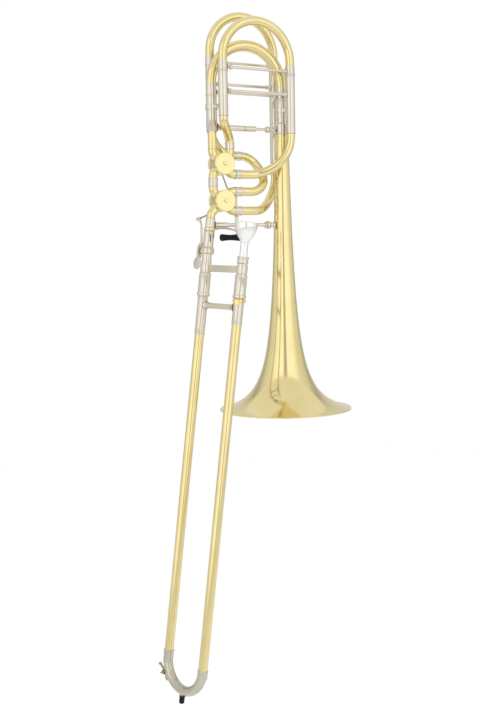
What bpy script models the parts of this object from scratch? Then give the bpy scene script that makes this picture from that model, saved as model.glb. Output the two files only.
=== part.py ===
"""Bass trombone with two in-line rotary valves, built from its separate tubes, valves, levers and slides.

Metres, +Z up the bell's axis. The origin is the centre of the bell's rim, +X runs from the valves towards the
bell, and -Y is the side of the mouthpiece. The hand slide leans away from the bell, so its pieces are placed in
a frame of their own, whose origin is the lower end of the slide receiver.
"""
import math

import bmesh
import bpy
from mathutils import Matrix, Vector

# Clearances and tube stock
FIT = 0.0003                    # gap between soldered or seated faces
RUN = 0.0004                    # gap between a disc and the disc that turns or slides over it
TUBE_WALL = 0.0005
VALVE_TUBE = 0.0076             # outer radius of the tubing through the valves
BEND_STUB = 0.002               # straight run before a bend, so that its end is square
PIPE_SIDES = 10
TURN_STEPS = 16
CROOK_STEPS = 10

# Bell
BELL_RADIUS = 0.12065
BELL_TOP = 0.495
BELL_WALL = 0.0006
FLARE_SCALE = 0.0221            # height over which the flare first halves its slope
FLARE_POWER = 0.72
BEAD_HEIGHT = 0.0012
BEAD_WIDTH = 0.0022
BELL_STEPS = 30
BELL_RINGS = 10

# Main tuning slide, in the bell's own plane
MAIN_LEFT_X = -0.138
MAIN_SMALL = 0.0086             # outer radius of the small leg
MAIN_LARGE = 0.0104             # outer radius of the large leg
MAIN_SLEEVE_GAP = 0.0003
MAIN_SLEEVE_WALL = 0.0004
MAIN_LEG = 0.0603               # length of the outer legs, up from the bell
MAIN_FERRULE = 0.0204           # from the leg's top to the start of the crook's half circle
MAIN_INSERT = 0.050             # how far the inner legs reach into the outer ones
BELL_RING = 0.0181              # height of the wide foot that holds the bell
BELL_RING_RADIUS = 0.0130

# Loop of the upper valve (G flat), in front of the main slide
GB_Y = -0.028
GB_LEFT_X = -0.1291
GB_RIGHT_X = 0.0028
GB_RISE = 0.0384                # top of the legs above the main legs' top
GB_LEFT_LEG = 0.0755
GB_RIGHT_LEG = 0.1004
GB_FERRULE = 0.0220
GB_INSERT = 0.068
S_BEND_RISE = 0.012             # straight run from the upper valve's port to the first elbow of the S-bend
S_BEND_RADIUS = 0.013

# Loop of the lower valve (F), behind the main slide
F_Y = 0.035
F_LEFT_X = -0.1222
F_RIGHT_X = 0.0052
F_RISE = 0.0584
F_LEFT_LEG = 0.1090
F_RIGHT_LEG = 0.1870
F_FERRULE = 0.0250
F_INSERT = 0.095
F_PASS = 0.0190                 # height over the upper valve's axis where the loop crosses behind it
F_RETURN = 0.0567               # how far past the upper valve the loop turns down to the lower one

# Rotary valves, both on axes along Y
LEAD_DROP = 0.0550              # top of the bell down to the upper valve's axis
VALVE_SPACING = 0.0635
CASING_RADIUS = 0.01875
CASING_BORE = 0.0170
CASING_HALF = 0.0125            # half of the casing's length along Y
PORT_REACH = 0.0168             # sideways distance from valve axis to each port's tube
KNUCKLE_STUB = 0.003
ROTOR_RADIUS = 0.0167
ROTOR_HALF = 0.0120
PASSAGE_RADIUS = 0.0062
SPINDLE_RADIUS = 0.0030
PLATE_THICK = 0.0030
CAP_THICK = 0.0032
CAP_HUB = 0.0035
ARM_THICK = 0.0025
F_ARM = 0.015                   # stop arm, spindle to pin
GB_ARM = 0.012
ARM_HUB = 0.0055
ARM_END = 0.0034
BUMPER_RADIUS = 0.0022
BUMPER_REACH = 0.0145           # valve axis to the centre of a rubber bumper

# Thumb lever of the F valve, in X and Z from the receiver's lower end
LEVER_PIVOT = (-0.00344, 0.0049)
LEVER_TOP = (-0.00744, 0.0504)
LEVER_PADDLE = (-0.01134, -0.0261)
LEVER_ROD = 0.0022
LEVER_HUB = 0.0045
LEVER_PIN = 0.0016
PADDLE_RADIUS = 0.0110
PADDLE_THICK = 0.0022
PADDLE_OFFSET = 0.0034          # how far the paddle stands out sideways, so that it passes the slide's brace
LINK_ROD = 0.0013

# Finger trigger of the G flat valve
TRIGGER_REACH = 0.0332          # from the valves' axes to the trigger's upright spindle
TRIGGER_Y = 0.0105
TRIGGER_FOOT_RISE = 0.0174      # above the receiver's lower end
TRIGGER_DROP = 0.0490           # upper valve's axis down to the trigger's crank
TRIGGER_SPINDLE = 0.0017
TRIGGER_SLEEVE = 0.0032
TRIGGER_SLEEVE_RISE = 0.0095    # from the trigger's foot up to its bearing tube
TRIGGER_SLEEVE_LENGTH = 0.0295
CRANK_STEP = 0.0050             # sideways from the spindle to the crank's eye
CRANK_Y = 0.0375
CRANK_GAP = 0.0022              # room for the crank to swing beside the link's eye
ROLLER_FORWARD = 0.0155         # from the trigger's spindle forward to the roller's axis
ROLLER_GAP = 0.0025             # trigger's corner to the near end of the roller
ROLLER_LENGTH = 0.037
ROLLER_RADIUS = 0.0066
ROLLER_WAIST = 0.0054

# Hand slide: frame, and heights measured up its own axis from the receiver's lower end
NECK_LEAN = 0.01306             # sideways from the lead pipe's axis to the receiver's lower end
NECK_DROP = 0.0809              # lower valve's axis down to the receiver's lower end
SLIDE_TILT = math.radians(7.516)
SLIDE_SWIVEL = math.radians(-74.03)
SLIDE_SPACING = 0.092
SLIDE_LENGTH = 0.7225           # receiver's lower end down to the centre of the bow
RECEIVER_HEIGHT = 0.0279
RECEIVER_WALL = 0.0008
TENON_TOP = 0.0200
TENON_RADIUS = 0.00825
TENON_WALL = 0.0006
NUT_HEIGHT = 0.0110
NUT_RADIUS = 0.0120
SLEEVE_BOTTOM = -0.0465
BRACE_LOW = -0.0418
BRACE_HIGH = -0.0290
BRACE_PLATE = 0.0030
BARREL_TOP = -0.0432
BARREL_RING_TOP = -0.0788
BARREL_BOTTOM = -0.0842
BARREL_RADIUS = 0.0102
BARREL_RING = 0.01125
BARREL_WALL = 0.0011
INNER_TUBE = 0.0074
INNER_TUBE_RISE = 0.0225        # end of the inner tubes above the bow's centre
OUTER_TUBE = 0.0082
OUTER_TUBE_TOP = -0.0520
OUTER_TUBE_RISE = 0.0035        # end of the outer tubes above the bow's centre
OUTER_BRACE_DROP = 0.0089       # from the lock ring down to the axis of the outer brace
OUTER_BRACE_RADIUS = 0.0050
OUTER_BRACE_FLANGE = 0.0080
LOCK_GAP = 0.0006
LOCK_HEIGHT = 0.0060
LOCK_RADIUS = 0.0112
BOW_SOCKET_RISE = 0.0125        # top of the bow's sockets above its centre
BOW_SOCKET_FOOT = 0.0020
BOW_WALL = 0.0007
BOW_SIDES = 12
STOP_LENGTH = 0.0145
STOP_RADIUS = 0.0047

# Water key on the bow
KEY_ANGLE = math.radians(222)   # where the hole sits round the bow, from +X of the slide frame
KEY_PAD = 0.0042

# Mouthpiece, heights from its receiver's mouth
MP_RECEIVER_TOP = -0.0139
MP_COLLAR_BOTTOM = -0.0260
MP_COLLAR_RADIUS = 0.0101
MP_INSERT = 0.0285
MP_SHANK_TIP = 0.0061
MP_SHANK_MOUTH = 0.0067
MP_HEIGHT = 0.0580
MP_RIM = 0.0195
MP_CUP = 0.0138

# Braces
STRUT = 0.0027
FLANGE = 0.0055
FLANGE_THICK = 0.0016
KNOB = 0.0042                   # radius of the turned knob on the thin braces
KNOB_AT = 0.5                   # share of the brace's length
SLIDE_BRACE_GAP = 0.0012        # between a leg's top and its tuning slide's brace
GB_BRACE_DROP = 0.0330          # legs' top down to their brace
F_BRACE_DROP = 0.0310
MAIN_BRACE_RISE = 0.0075
MAIN_BRACE_ROD = 0.0045
MAIN_BRACE_FLANGE = 0.0070
MAIN_BRACE_KNOB = 0.0062
MAIN_BRACE_KNOB_AT = 0.30
BELL_BRACE_RISE = 0.0394        # above the receiver's lower end
BELL_BRACE_ROD = 0.0032
BELL_BRACE_FLANGE = 0.0065
BELL_BRACE_KNOB = 0.0072
BELL_BRACE_KNOB_AT = 0.86
BELL_BRACE_SEAT = 0.0012        # room for solder at the bell
NECK_SEAT = 0.0010
TIE_DROP = 0.0190               # main legs' top down to the middle of their ties
TIE_HEIGHT = 0.0090
TIE_WALL = 0.0012

# Heights and places that follow from the above
MAIN_LEG_BOTTOM = BELL_TOP + FIT
MAIN_LEG_TOP = MAIN_LEG_BOTTOM + MAIN_LEG
MAIN_CROOK_Z = MAIN_LEG_TOP + MAIN_FERRULE
BELL_RING_TOP = MAIN_LEG_BOTTOM + BELL_RING
GB_LEG_TOP = MAIN_LEG_TOP + GB_RISE
GB_LEFT_BOTTOM = GB_LEG_TOP - GB_LEFT_LEG
GB_RIGHT_BOTTOM = GB_LEG_TOP - GB_RIGHT_LEG
GB_CROOK_Z = GB_LEG_TOP + GB_FERRULE
F_LEG_TOP = MAIN_LEG_TOP + F_RISE
F_LEFT_BOTTOM = F_LEG_TOP - F_LEFT_LEG
F_RIGHT_BOTTOM = F_LEG_TOP - F_RIGHT_LEG
F_CROOK_Z = F_LEG_TOP + F_FERRULE
ROTOR_X = MAIN_LEFT_X + PORT_REACH
UPPER_Z = BELL_TOP - LEAD_DROP
LOWER_Z = UPPER_Z - VALVE_SPACING
F_PASS_Z = UPPER_Z + F_PASS
F_RETURN_X = ROTOR_X + F_RETURN
RECEIVER_X = MAIN_LEFT_X - NECK_LEAN
RECEIVER_Z = LOWER_Z - NECK_DROP
BELL_BRACE_Z = RECEIVER_Z + BELL_BRACE_RISE
TRIGGER_X = ROTOR_X + TRIGGER_REACH
TRIGGER_FOOT = RECEIVER_Z + TRIGGER_FOOT_RISE
TRIGGER_TOP = UPPER_Z - TRIGGER_DROP
TRIGGER_SLEEVE_LOW = TRIGGER_FOOT + TRIGGER_SLEEVE_RISE
BOW_CENTRE_Z = -SLIDE_LENGTH
BOW_SOCKET_TOP = BOW_CENTRE_Z + BOW_SOCKET_RISE
BOW_SOCKET_END = BOW_CENTRE_Z + BOW_SOCKET_FOOT
INNER_TUBE_END = BOW_CENTRE_Z + INNER_TUBE_RISE
OUTER_TUBE_END = BOW_CENTRE_Z + OUTER_TUBE_RISE
LOCK_TOP = BARREL_BOTTOM - LOCK_GAP
OUTER_BRACE_Z = LOCK_TOP - LOCK_HEIGHT - OUTER_BRACE_DROP
DIAGONAL = math.sqrt(0.5)
KNUCKLE_BEND = (PORT_REACH - CASING_RADIUS * DIAGONAL) / (1 - DIAGONAL)
PLATE_Y = CASING_HALF + FIT
ARM_Y = PLATE_Y + PLATE_THICK + 0.0010
ROD_Y = ARM_Y + ARM_THICK + RUN

UP = Vector((0, 0, 1))
DOWN = Vector((0, 0, -1))
RIGHT = Vector((1, 0, 0))
LEFT = Vector((-1, 0, 0))
REAR = Vector((0, 1, 0))
SLIDE_MATRIX = (Matrix.Translation((RECEIVER_X, 0, RECEIVER_Z))
                @ Matrix.Rotation(SLIDE_TILT, 4, "Y") @ Matrix.Rotation(SLIDE_SWIVEL, 4, "Z"))


def clear_scene():
    for item in list(bpy.data.objects):
        bpy.data.objects.remove(item, do_unlink=True)


def new_collection(name):
    collection = bpy.data.collections.new(name)
    bpy.context.scene.collection.children.link(collection)
    return collection


def new_material(name, colour, roughness, metallic):
    material = bpy.data.materials.new(name)
    material.use_nodes = True
    shader = material.node_tree.nodes["Principled BSDF"]
    shader.inputs["Base Color"].default_value = (*colour, 1)
    shader.inputs["Roughness"].default_value = roughness
    shader.inputs["Metallic"].default_value = metallic
    return material


clear_scene()
PARTS = new_collection("bass_trombone")
CUTTERS = new_collection("cutters")
BRASS = new_material("lacquered_brass", (0.80, 0.60, 0.22), 0.14, 1.0)
NICKEL = new_material("nickel_silver", (0.76, 0.70, 0.60), 0.16, 1.0)
SILVER = new_material("silver_plate", (0.90, 0.89, 0.87), 0.10, 1.0)
RUBBER = new_material("black_rubber", (0.015, 0.015, 0.015), 0.55, 0.0)


def add_object(name, data, material, parent=None, collection=PARTS):
    item = bpy.data.objects.new(name, data)
    collection.objects.link(item)
    if material:
        data.materials.append(material)
    item.parent = parent
    return item


def place(item, position, direction=UP):
    item.location = position
    item.rotation_mode = "QUATERNION"
    item.rotation_quaternion = Vector(direction).to_track_quat("Z", "Y")
    return item


def shade(mesh):
    mesh.shade_smooth()
    mesh.set_sharp_from_angle(angle=math.radians(35))


def turned(name, profile, material, closed=False, steps=TURN_STEPS, parent=None, collection=PARTS):
    """Turn (radius, height) points round Z. The points run down the outer side, then back up a bore."""
    mesh = bpy.data.meshes.new(name)
    count = len(profile)
    edges = [(i, i + 1) for i in range(count - 1)]
    if closed:
        edges.append((count - 1, 0))
    mesh.from_pydata([(radius, 0, height) for radius, height in profile], edges, [])
    item = add_object(name, mesh, material, parent, collection)
    screw = item.modifiers.new("turn", "SCREW")
    screw.steps = steps
    screw.render_steps = steps
    screw.use_merge_vertices = True
    screw.merge_threshold = 0.00001
    screw.use_smooth_shade = True
    return item


def sleeve(name, low, high, outer, wall, material, parent=None, steps=TURN_STEPS):
    """A plain open tube along Z between two heights."""
    ring = [(outer, high), (outer, low), (outer - wall, low), (outer - wall, high)]
    return turned(name, ring, material, True, steps, parent)


def poly_curve(name, points, radius, material, radii=None, caps=True, sides=PIPE_SIDES, parent=None,
               collection=PARTS):
    curve = bpy.data.curves.new(name, "CURVE")
    curve.dimensions = "3D"
    curve.bevel_depth = radius
    curve.bevel_resolution = (sides - 4) // 2
    curve.use_fill_caps = caps
    spline = curve.splines.new("POLY")
    spline.points.add(len(points) - 1)
    spline.use_smooth = True
    for index, point in enumerate(points):
        spline.points[index].co = (*point, 1)
        spline.points[index].radius = (radii[index] / radius) if radii else 1
    return add_object(name, curve, material, parent, collection)


def pipe(name, points, radius, material, wall=TUBE_WALL, radii=None, sides=PIPE_SIDES, parent=None):
    """An open tube along the points, with its wall on the inner side."""
    item = poly_curve(name, points, radius, material, radii, False, sides, parent)
    shell = item.modifiers.new("wall", "SOLIDIFY")
    shell.thickness = wall
    shell.offset = -1
    return item


def meshed(curve_item):
    """Replace a capped curve by the closed mesh that it draws, so that it can cut or be joined."""
    graph = bpy.context.evaluated_depsgraph_get()
    mesh = bpy.data.meshes.new_from_object(curve_item.evaluated_get(graph))
    work = bmesh.new()
    work.from_mesh(mesh)
    bmesh.ops.remove_doubles(work, verts=work.verts, dist=0.00001)
    bmesh.ops.recalc_face_normals(work, faces=work.faces)
    work.to_mesh(mesh)
    work.free()
    name = curve_item.name
    collection = curve_item.users_collection[0]
    item = bpy.data.objects.new(name, mesh)
    collection.objects.link(item)
    item.parent = curve_item.parent
    item.matrix_local = curve_item.matrix_local.copy()
    bpy.data.objects.remove(curve_item, do_unlink=True)
    item.name = name
    shade(mesh)
    return item


def rod(name, points, radius, material, sides=8, parent=None, collection=PARTS):
    """A solid round rod along the points, as a closed mesh."""
    return meshed(poly_curve(name, points, radius, material, None, True, sides, parent, collection))


def disc(name, centre, axis, radius, thick, material=None, steps=12, parent=None, collection=CUTTERS):
    """A solid disc centred on a point."""
    half = thick / 2
    item = turned(name, [(0, half), (radius, half), (radius, -half), (0, -half)], material, False, steps,
                  parent, collection)
    return place(item, centre, axis)


def combine(item, other, operation):
    step = item.modifiers.new(other.name, "BOOLEAN")
    step.operation = operation
    step.solver = "EXACT"
    step.object = other
    other.hide_render = True
    other.display_type = "WIRE"
    return item


def join(item, *others):
    for other in others:
        combine(item, other, "UNION")
    return item


def cut(item, *others):
    for other in others:
        combine(item, other, "DIFFERENCE")
    return item


def ease(t):
    return t * t * (3 - 2 * t)


def bend(start, heading, toward, radius, turn, shift=(0, 0, 0), steps=8):
    """Points round a bend that leaves start along heading and curls toward the other direction."""
    points = []
    full = 1 - math.cos(turn)
    for step in range(steps + 1):
        angle = turn * step / steps
        lean = ease((1 - math.cos(angle)) / full)
        points.append(Vector(start) + radius * (math.sin(angle) * Vector(heading)
                                                + (1 - math.cos(angle)) * Vector(toward))
                      + lean * Vector(shift))
    return points


def double_elbow(start, end, radius, steps):
    """Points of a riser that leans over to a parallel line by two equal elbows with a straight run between."""
    side = Vector((end.x - start.x, end.y - start.y, 0))
    across = side.length - 2 * radius
    rise = end.z - start.z
    straight = math.sqrt(across * across + rise * rise - 4 * radius * radius)
    turn = math.atan2(across, rise) + math.atan2(2 * radius, straight)
    side.normalize()
    low = bend(start, UP, side, radius, turn, steps=steps)
    high = bend(end, DOWN, -side, radius, turn, steps=steps)
    return low + high[::-1]


def strut(name, start, end, material, radius=STRUT, flange=FLANGE, knob=0.0, knob_at=KNOB_AT, parent=None):
    """A round brace with a flange at each end, and a turned knob along it where one is asked for."""
    start, end = Vector(start), Vector(end)
    length = (end - start).length
    profile = [(0, length), (flange, length), (flange, length - FLANGE_THICK),
               (radius, length - 2.4 * FLANGE_THICK)]
    if knob:
        middle = length * knob_at
        profile += [(radius, middle + knob), (knob, middle + knob * 0.6),
                    (knob, middle - knob * 0.6), (radius, middle - knob)]
    profile += [(radius, 2.4 * FLANGE_THICK), (flange, FLANGE_THICK), (flange, 0), (0, 0)]
    return place(turned(name, profile, material, steps=8, parent=parent), start, end - start)


def bell_radius(height):
    return BELL_RADIUS * (1 + (height - BEAD_HEIGHT) / FLARE_SCALE) ** -FLARE_POWER


def build_bell():
    outer, inner = [], []
    for ring in range(BELL_RINGS, -1, -1):
        height = BEAD_HEIGHT + (BELL_TOP - BEAD_HEIGHT) * (ring / BELL_RINGS) ** 2.6
        radius = bell_radius(height)
        slope = -FLARE_POWER * radius / (FLARE_SCALE + height - BEAD_HEIGHT)
        length = math.hypot(1, slope)
        outer.append((radius, height))
        inner.append((radius - BELL_WALL / length, height + BELL_WALL * slope / length))
    inner = [point for point in inner if point[0] < BELL_RADIUS - BEAD_WIDTH]
    inner[0] = (inner[0][0], BELL_TOP)
    bead = [(BELL_RADIUS, 0), (BELL_RADIUS - BEAD_WIDTH, 0)]
    turned("bell_flare", outer + bead + inner[::-1], BRASS, True, BELL_STEPS)


def slide_pair(prefix, left, right, y, tops, bottoms, sizes, material):
    """The two fixed outer legs of a tuning slide."""
    for side, x, bottom, size in zip(("left", "right"), (left, right), bottoms, sizes):
        leg = sleeve(f"{prefix}_outer_leg_{side}", bottom, tops, size + MAIN_SLEEVE_GAP + MAIN_SLEEVE_WALL,
                     MAIN_SLEEVE_WALL, material)
        leg.location = (x, y, 0)


def build_outer_legs():
    place(sleeve("main_outer_leg_left", MAIN_LEG_BOTTOM, MAIN_LEG_TOP,
                 MAIN_SMALL + MAIN_SLEEVE_GAP + MAIN_SLEEVE_WALL, MAIN_SLEEVE_WALL, NICKEL),
          (MAIN_LEFT_X, 0, 0))
    outer = MAIN_LARGE + MAIN_SLEEVE_GAP + MAIN_SLEEVE_WALL
    bore = outer - MAIN_SLEEVE_WALL
    turned("main_outer_leg_right",
           [(outer, MAIN_LEG_TOP), (outer, BELL_RING_TOP), (BELL_RING_RADIUS, BELL_RING_TOP),
            (BELL_RING_RADIUS, MAIN_LEG_BOTTOM), (bore, MAIN_LEG_BOTTOM), (bore, MAIN_LEG_TOP)],
           NICKEL, True)
    slide_pair("gb", GB_LEFT_X, GB_RIGHT_X, GB_Y, GB_LEG_TOP, (GB_LEFT_BOTTOM, GB_RIGHT_BOTTOM),
               (VALVE_TUBE, VALVE_TUBE), NICKEL)
    slide_pair("f", F_LEFT_X, F_RIGHT_X, F_Y, F_LEG_TOP, (F_LEFT_BOTTOM, F_RIGHT_BOTTOM),
               (VALVE_TUBE, VALVE_TUBE), NICKEL)


def crook(name, left, right, y, leg_top, centre_z, insert, small, large, material):
    """A tuning slide: its two inner legs and the half circle that joins them."""
    radius = (right - left) / 2
    bottom = leg_top - insert
    arc = bend((left, y, centre_z), UP, RIGHT, radius, math.pi, steps=CROOK_STEPS)
    points = [Vector((left, y, bottom))] + arc + [Vector((right, y, bottom))]
    taper = [small + (large - small) * step / CROOK_STEPS for step in range(CROOK_STEPS + 1)]
    radii = [small] + taper + [large]
    pipe(name, points, large, material, radii=radii)


def build_tuning_slides():
    crook("main_slide_crook", MAIN_LEFT_X, 0, 0, MAIN_LEG_TOP, MAIN_CROOK_Z, MAIN_INSERT, MAIN_SMALL,
          MAIN_LARGE, BRASS)
    crook("gb_slide_crook", GB_LEFT_X, GB_RIGHT_X, GB_Y, GB_LEG_TOP, GB_CROOK_Z, GB_INSERT, VALVE_TUBE,
          VALVE_TUBE, BRASS)
    crook("f_slide_crook", F_LEFT_X, F_RIGHT_X, F_Y, F_LEG_TOP, F_CROOK_Z, F_INSERT, VALVE_TUBE, VALVE_TUBE,
          BRASS)
    for name, left, right, y, top, small, large in (
            ("main_slide_brace", MAIN_LEFT_X, 0, 0, MAIN_LEG_TOP, MAIN_SMALL, MAIN_LARGE),
            ("gb_slide_brace", GB_LEFT_X, GB_RIGHT_X, GB_Y, GB_LEG_TOP, VALVE_TUBE, VALVE_TUBE),
            ("f_slide_brace", F_LEFT_X, F_RIGHT_X, F_Y, F_LEG_TOP, VALVE_TUBE, VALVE_TUBE)):
        height = top + FLANGE + SLIDE_BRACE_GAP
        strut(name, (left + small + FIT, y, height), (right - large - FIT, y, height), NICKEL, knob=KNOB)


def knuckle_path(centre_z, angle, heading, straight=0.0):
    """From inside the casing out through a port, round to the heading, and a short stub along it."""
    port = Vector((math.cos(angle), 0, math.sin(angle)))
    centre = Vector((ROTOR_X, 0, centre_z))
    heading = Vector(heading).normalized()
    turn = port.angle(heading)
    toward = (heading - port * port.dot(heading)).normalized()
    start = centre + port * (CASING_RADIUS + straight)
    arc = bend(start, port, toward, KNUCKLE_BEND, turn, steps=3)
    return [centre + port * CASING_BORE * 0.9] + arc + [arc[-1] + heading * KNUCKLE_STUB]


def slide_port_straight():
    """Straight run that brings the lower valve's last port onto the hand slide's axis."""
    down = SLIDE_MATRIX.to_3x3() @ DOWN
    port = Vector((-DIAGONAL, 0, -DIAGONAL))
    turn = port.angle(down)
    start = Vector((ROTOR_X, 0, LOWER_Z)) + port * CASING_RADIUS
    across = Vector((-down.z, 0, down.x))
    gap = abs((start - Vector((RECEIVER_X, 0, RECEIVER_Z))).dot(across))
    return (gap - KNUCKLE_BEND * (1 - math.cos(turn))) / math.sin(turn)


def quarter(count):
    return math.radians(45 + 90 * count)


def upper_ports():
    return [knuckle_path(UPPER_Z, quarter(0), UP), knuckle_path(UPPER_Z, quarter(1), UP),
            knuckle_path(UPPER_Z, quarter(2), DOWN), knuckle_path(UPPER_Z, quarter(3), RIGHT)]


def lower_ports():
    down = SLIDE_MATRIX.to_3x3() @ DOWN
    return [knuckle_path(LOWER_Z, quarter(0), RIGHT), knuckle_path(LOWER_Z, quarter(1), UP),
            knuckle_path(LOWER_Z, quarter(2), down, slide_port_straight()),
            knuckle_path(LOWER_Z, quarter(3), RIGHT)]


def build_casing(name, centre_z, paths):
    """Casing with its four knuckles brazed on, bored through for the rotor and the ports."""
    half = CASING_HALF
    casing = turned(name, [(0, half), (CASING_RADIUS, half), (CASING_RADIUS, -half), (0, -half)], BRASS,
                    steps=24)
    place(casing, (ROTOR_X, 0, centre_z), REAR)
    bores = []
    for number, path in enumerate(paths):
        stub = rod(f"{name}_knuckle_{number}", path, VALVE_TUBE, None, 8, collection=CUTTERS)
        join(casing, stub)
        along = (path[-1] - path[-2]).normalized()
        bore_path = [path[0] - (path[1] - path[0]) * 2] + path[1:-1] + [path[-1] + along * 0.002]
        bores.append(rod(f"{name}_bore_{number}", bore_path, VALVE_TUBE - TUBE_WALL, None, 8,
                         collection=CUTTERS))
    bores.append(disc(f"{name}_rotor_bore", (ROTOR_X, 0, centre_z), REAR, CASING_BORE, half * 3, steps=24))
    cut(casing, *bores)


def passage(name, centre_z, side):
    """One of a rotor's two curved channels, between neighbouring ports."""
    middle = Vector((ROTOR_X + side * ROTOR_RADIUS / DIAGONAL, 0, centre_z))
    points = []
    for step in range(6):
        angle = math.radians(-60 + 24 * step)
        points.append(middle + ROTOR_RADIUS * Vector((-side * math.cos(angle), 0, math.sin(angle))))
    return rod(name, points, PASSAGE_RADIUS, None, 8, collection=CUTTERS)


def build_valve(prefix, centre_z, paths, arm):
    build_casing(f"{prefix}_rotor_casing", centre_z, paths)
    axis_at = Vector((ROTOR_X, 0, centre_z))
    spindle_end = ARM_Y + ARM_THICK
    rotor = turned(f"{prefix}_rotor",
                   [(0, spindle_end), (SPINDLE_RADIUS, spindle_end), (SPINDLE_RADIUS, ROTOR_HALF),
                    (ROTOR_RADIUS, ROTOR_HALF), (ROTOR_RADIUS, -ROTOR_HALF), (0, -ROTOR_HALF)], NICKEL,
                   steps=24)
    place(rotor, axis_at, REAR)
    cut(rotor, passage(f"{prefix}_passage_left", centre_z, -1), passage(f"{prefix}_passage_right", centre_z, 1))
    cap = turned(f"{prefix}_rotor_cap",
                 [(0, CAP_THICK + 0.0010), (CAP_HUB, CAP_THICK + 0.0010), (CAP_HUB, CAP_THICK),
                  (CASING_RADIUS - 0.0012, CAP_THICK), (CASING_RADIUS, CAP_THICK - 0.0012),
                  (CASING_RADIUS, 0), (0, 0)], BRASS, steps=24)
    place(cap, axis_at - REAR * PLATE_Y, -REAR)
    plate = turned(f"{prefix}_back_plate",
                   [(CASING_RADIUS, PLATE_THICK), (CASING_RADIUS, 0), (SPINDLE_RADIUS + FIT, 0),
                    (SPINDLE_RADIUS + FIT, PLATE_THICK)], BRASS, True, 24)
    place(plate, axis_at + REAR * PLATE_Y, REAR)
    for number in (0, 1):
        stop = bumper_place(axis_at, number)
        bumper = disc(f"{prefix}_bumper_{number}", stop + REAR * (PLATE_Y + PLATE_THICK + 0.0010), REAR,
                      BUMPER_RADIUS, 0.0060, steps=12)
        join(plate, bumper)
    build_stop_arm(f"{prefix}_stop_arm", axis_at, arm)


def bumper_place(axis_at, number):
    """The tail of the stop arm starts up and left at 45 degrees and ends up and right, a bumper beyond each."""
    tail_half = math.asin((ARM_END + BUMPER_RADIUS + 2 * FIT) / BUMPER_REACH)
    angle = math.radians(135) + tail_half if number == 0 else math.radians(45) - tail_half
    return axis_at + BUMPER_REACH * Vector((math.cos(angle), 0, math.sin(angle)))


def build_stop_arm(name, axis_at, arm):
    """A flat arm on the spindle: its pin end takes the link rod, its tail meets the bumpers."""
    layer = ARM_Y + ARM_THICK / 2
    hub = turned(name, [(ARM_HUB, ARM_THICK), (ARM_HUB, 0), (SPINDLE_RADIUS + FIT, 0),
                        (SPINDLE_RADIUS + FIT, ARM_THICK)], NICKEL, True, 20)
    place(hub, axis_at + REAR * ARM_Y, REAR)
    pin_way = Vector((DIAGONAL, 0, -DIAGONAL))
    for tag, way, reach in (("pin", pin_way, arm), ("tail", -pin_way, BUMPER_REACH)):
        near = axis_at + way * (SPINDLE_RADIUS + FIT + 0.0008) + REAR * layer
        far = axis_at + way * reach + REAR * layer
        bar = box_between(f"{name}_{tag}_bar", near, far, 2 * ARM_END * 0.82, ARM_THICK * 0.90)
        end = disc(f"{name}_{tag}_end", far, REAR, ARM_END, ARM_THICK * 0.96, steps=12)
        join(hub, bar, end)


def box_between(name, start, end, width, thick, material=None, parent=None, collection=CUTTERS):
    """A flat bar from one point to another: width across, thickness along Y."""
    work = bmesh.new()
    bmesh.ops.create_cube(work, size=1)
    length = (end - start).length
    bmesh.ops.scale(work, verts=work.verts, vec=(width, thick, length))
    mesh = bpy.data.meshes.new(name)
    work.to_mesh(mesh)
    work.free()
    item = add_object(name, mesh, material, parent, collection)
    way = (end - start).normalized()
    across = REAR.cross(way).normalized()
    turn = Matrix((across, way.cross(across), way)).transposed()
    item.matrix_local = Matrix.Translation((start + end) / 2) @ turn.to_4x4()
    return item


def leg_bend(top, toward, low_z, shift, steps):
    """A quarter bend from the foot of a leg round to the level of a port, after a short straight stub."""
    top = Vector(top)
    start = top + DOWN * BEND_STUB
    return [top] + bend(start, DOWN, toward, start.z - low_z, math.pi / 2, shift, steps)


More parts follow.
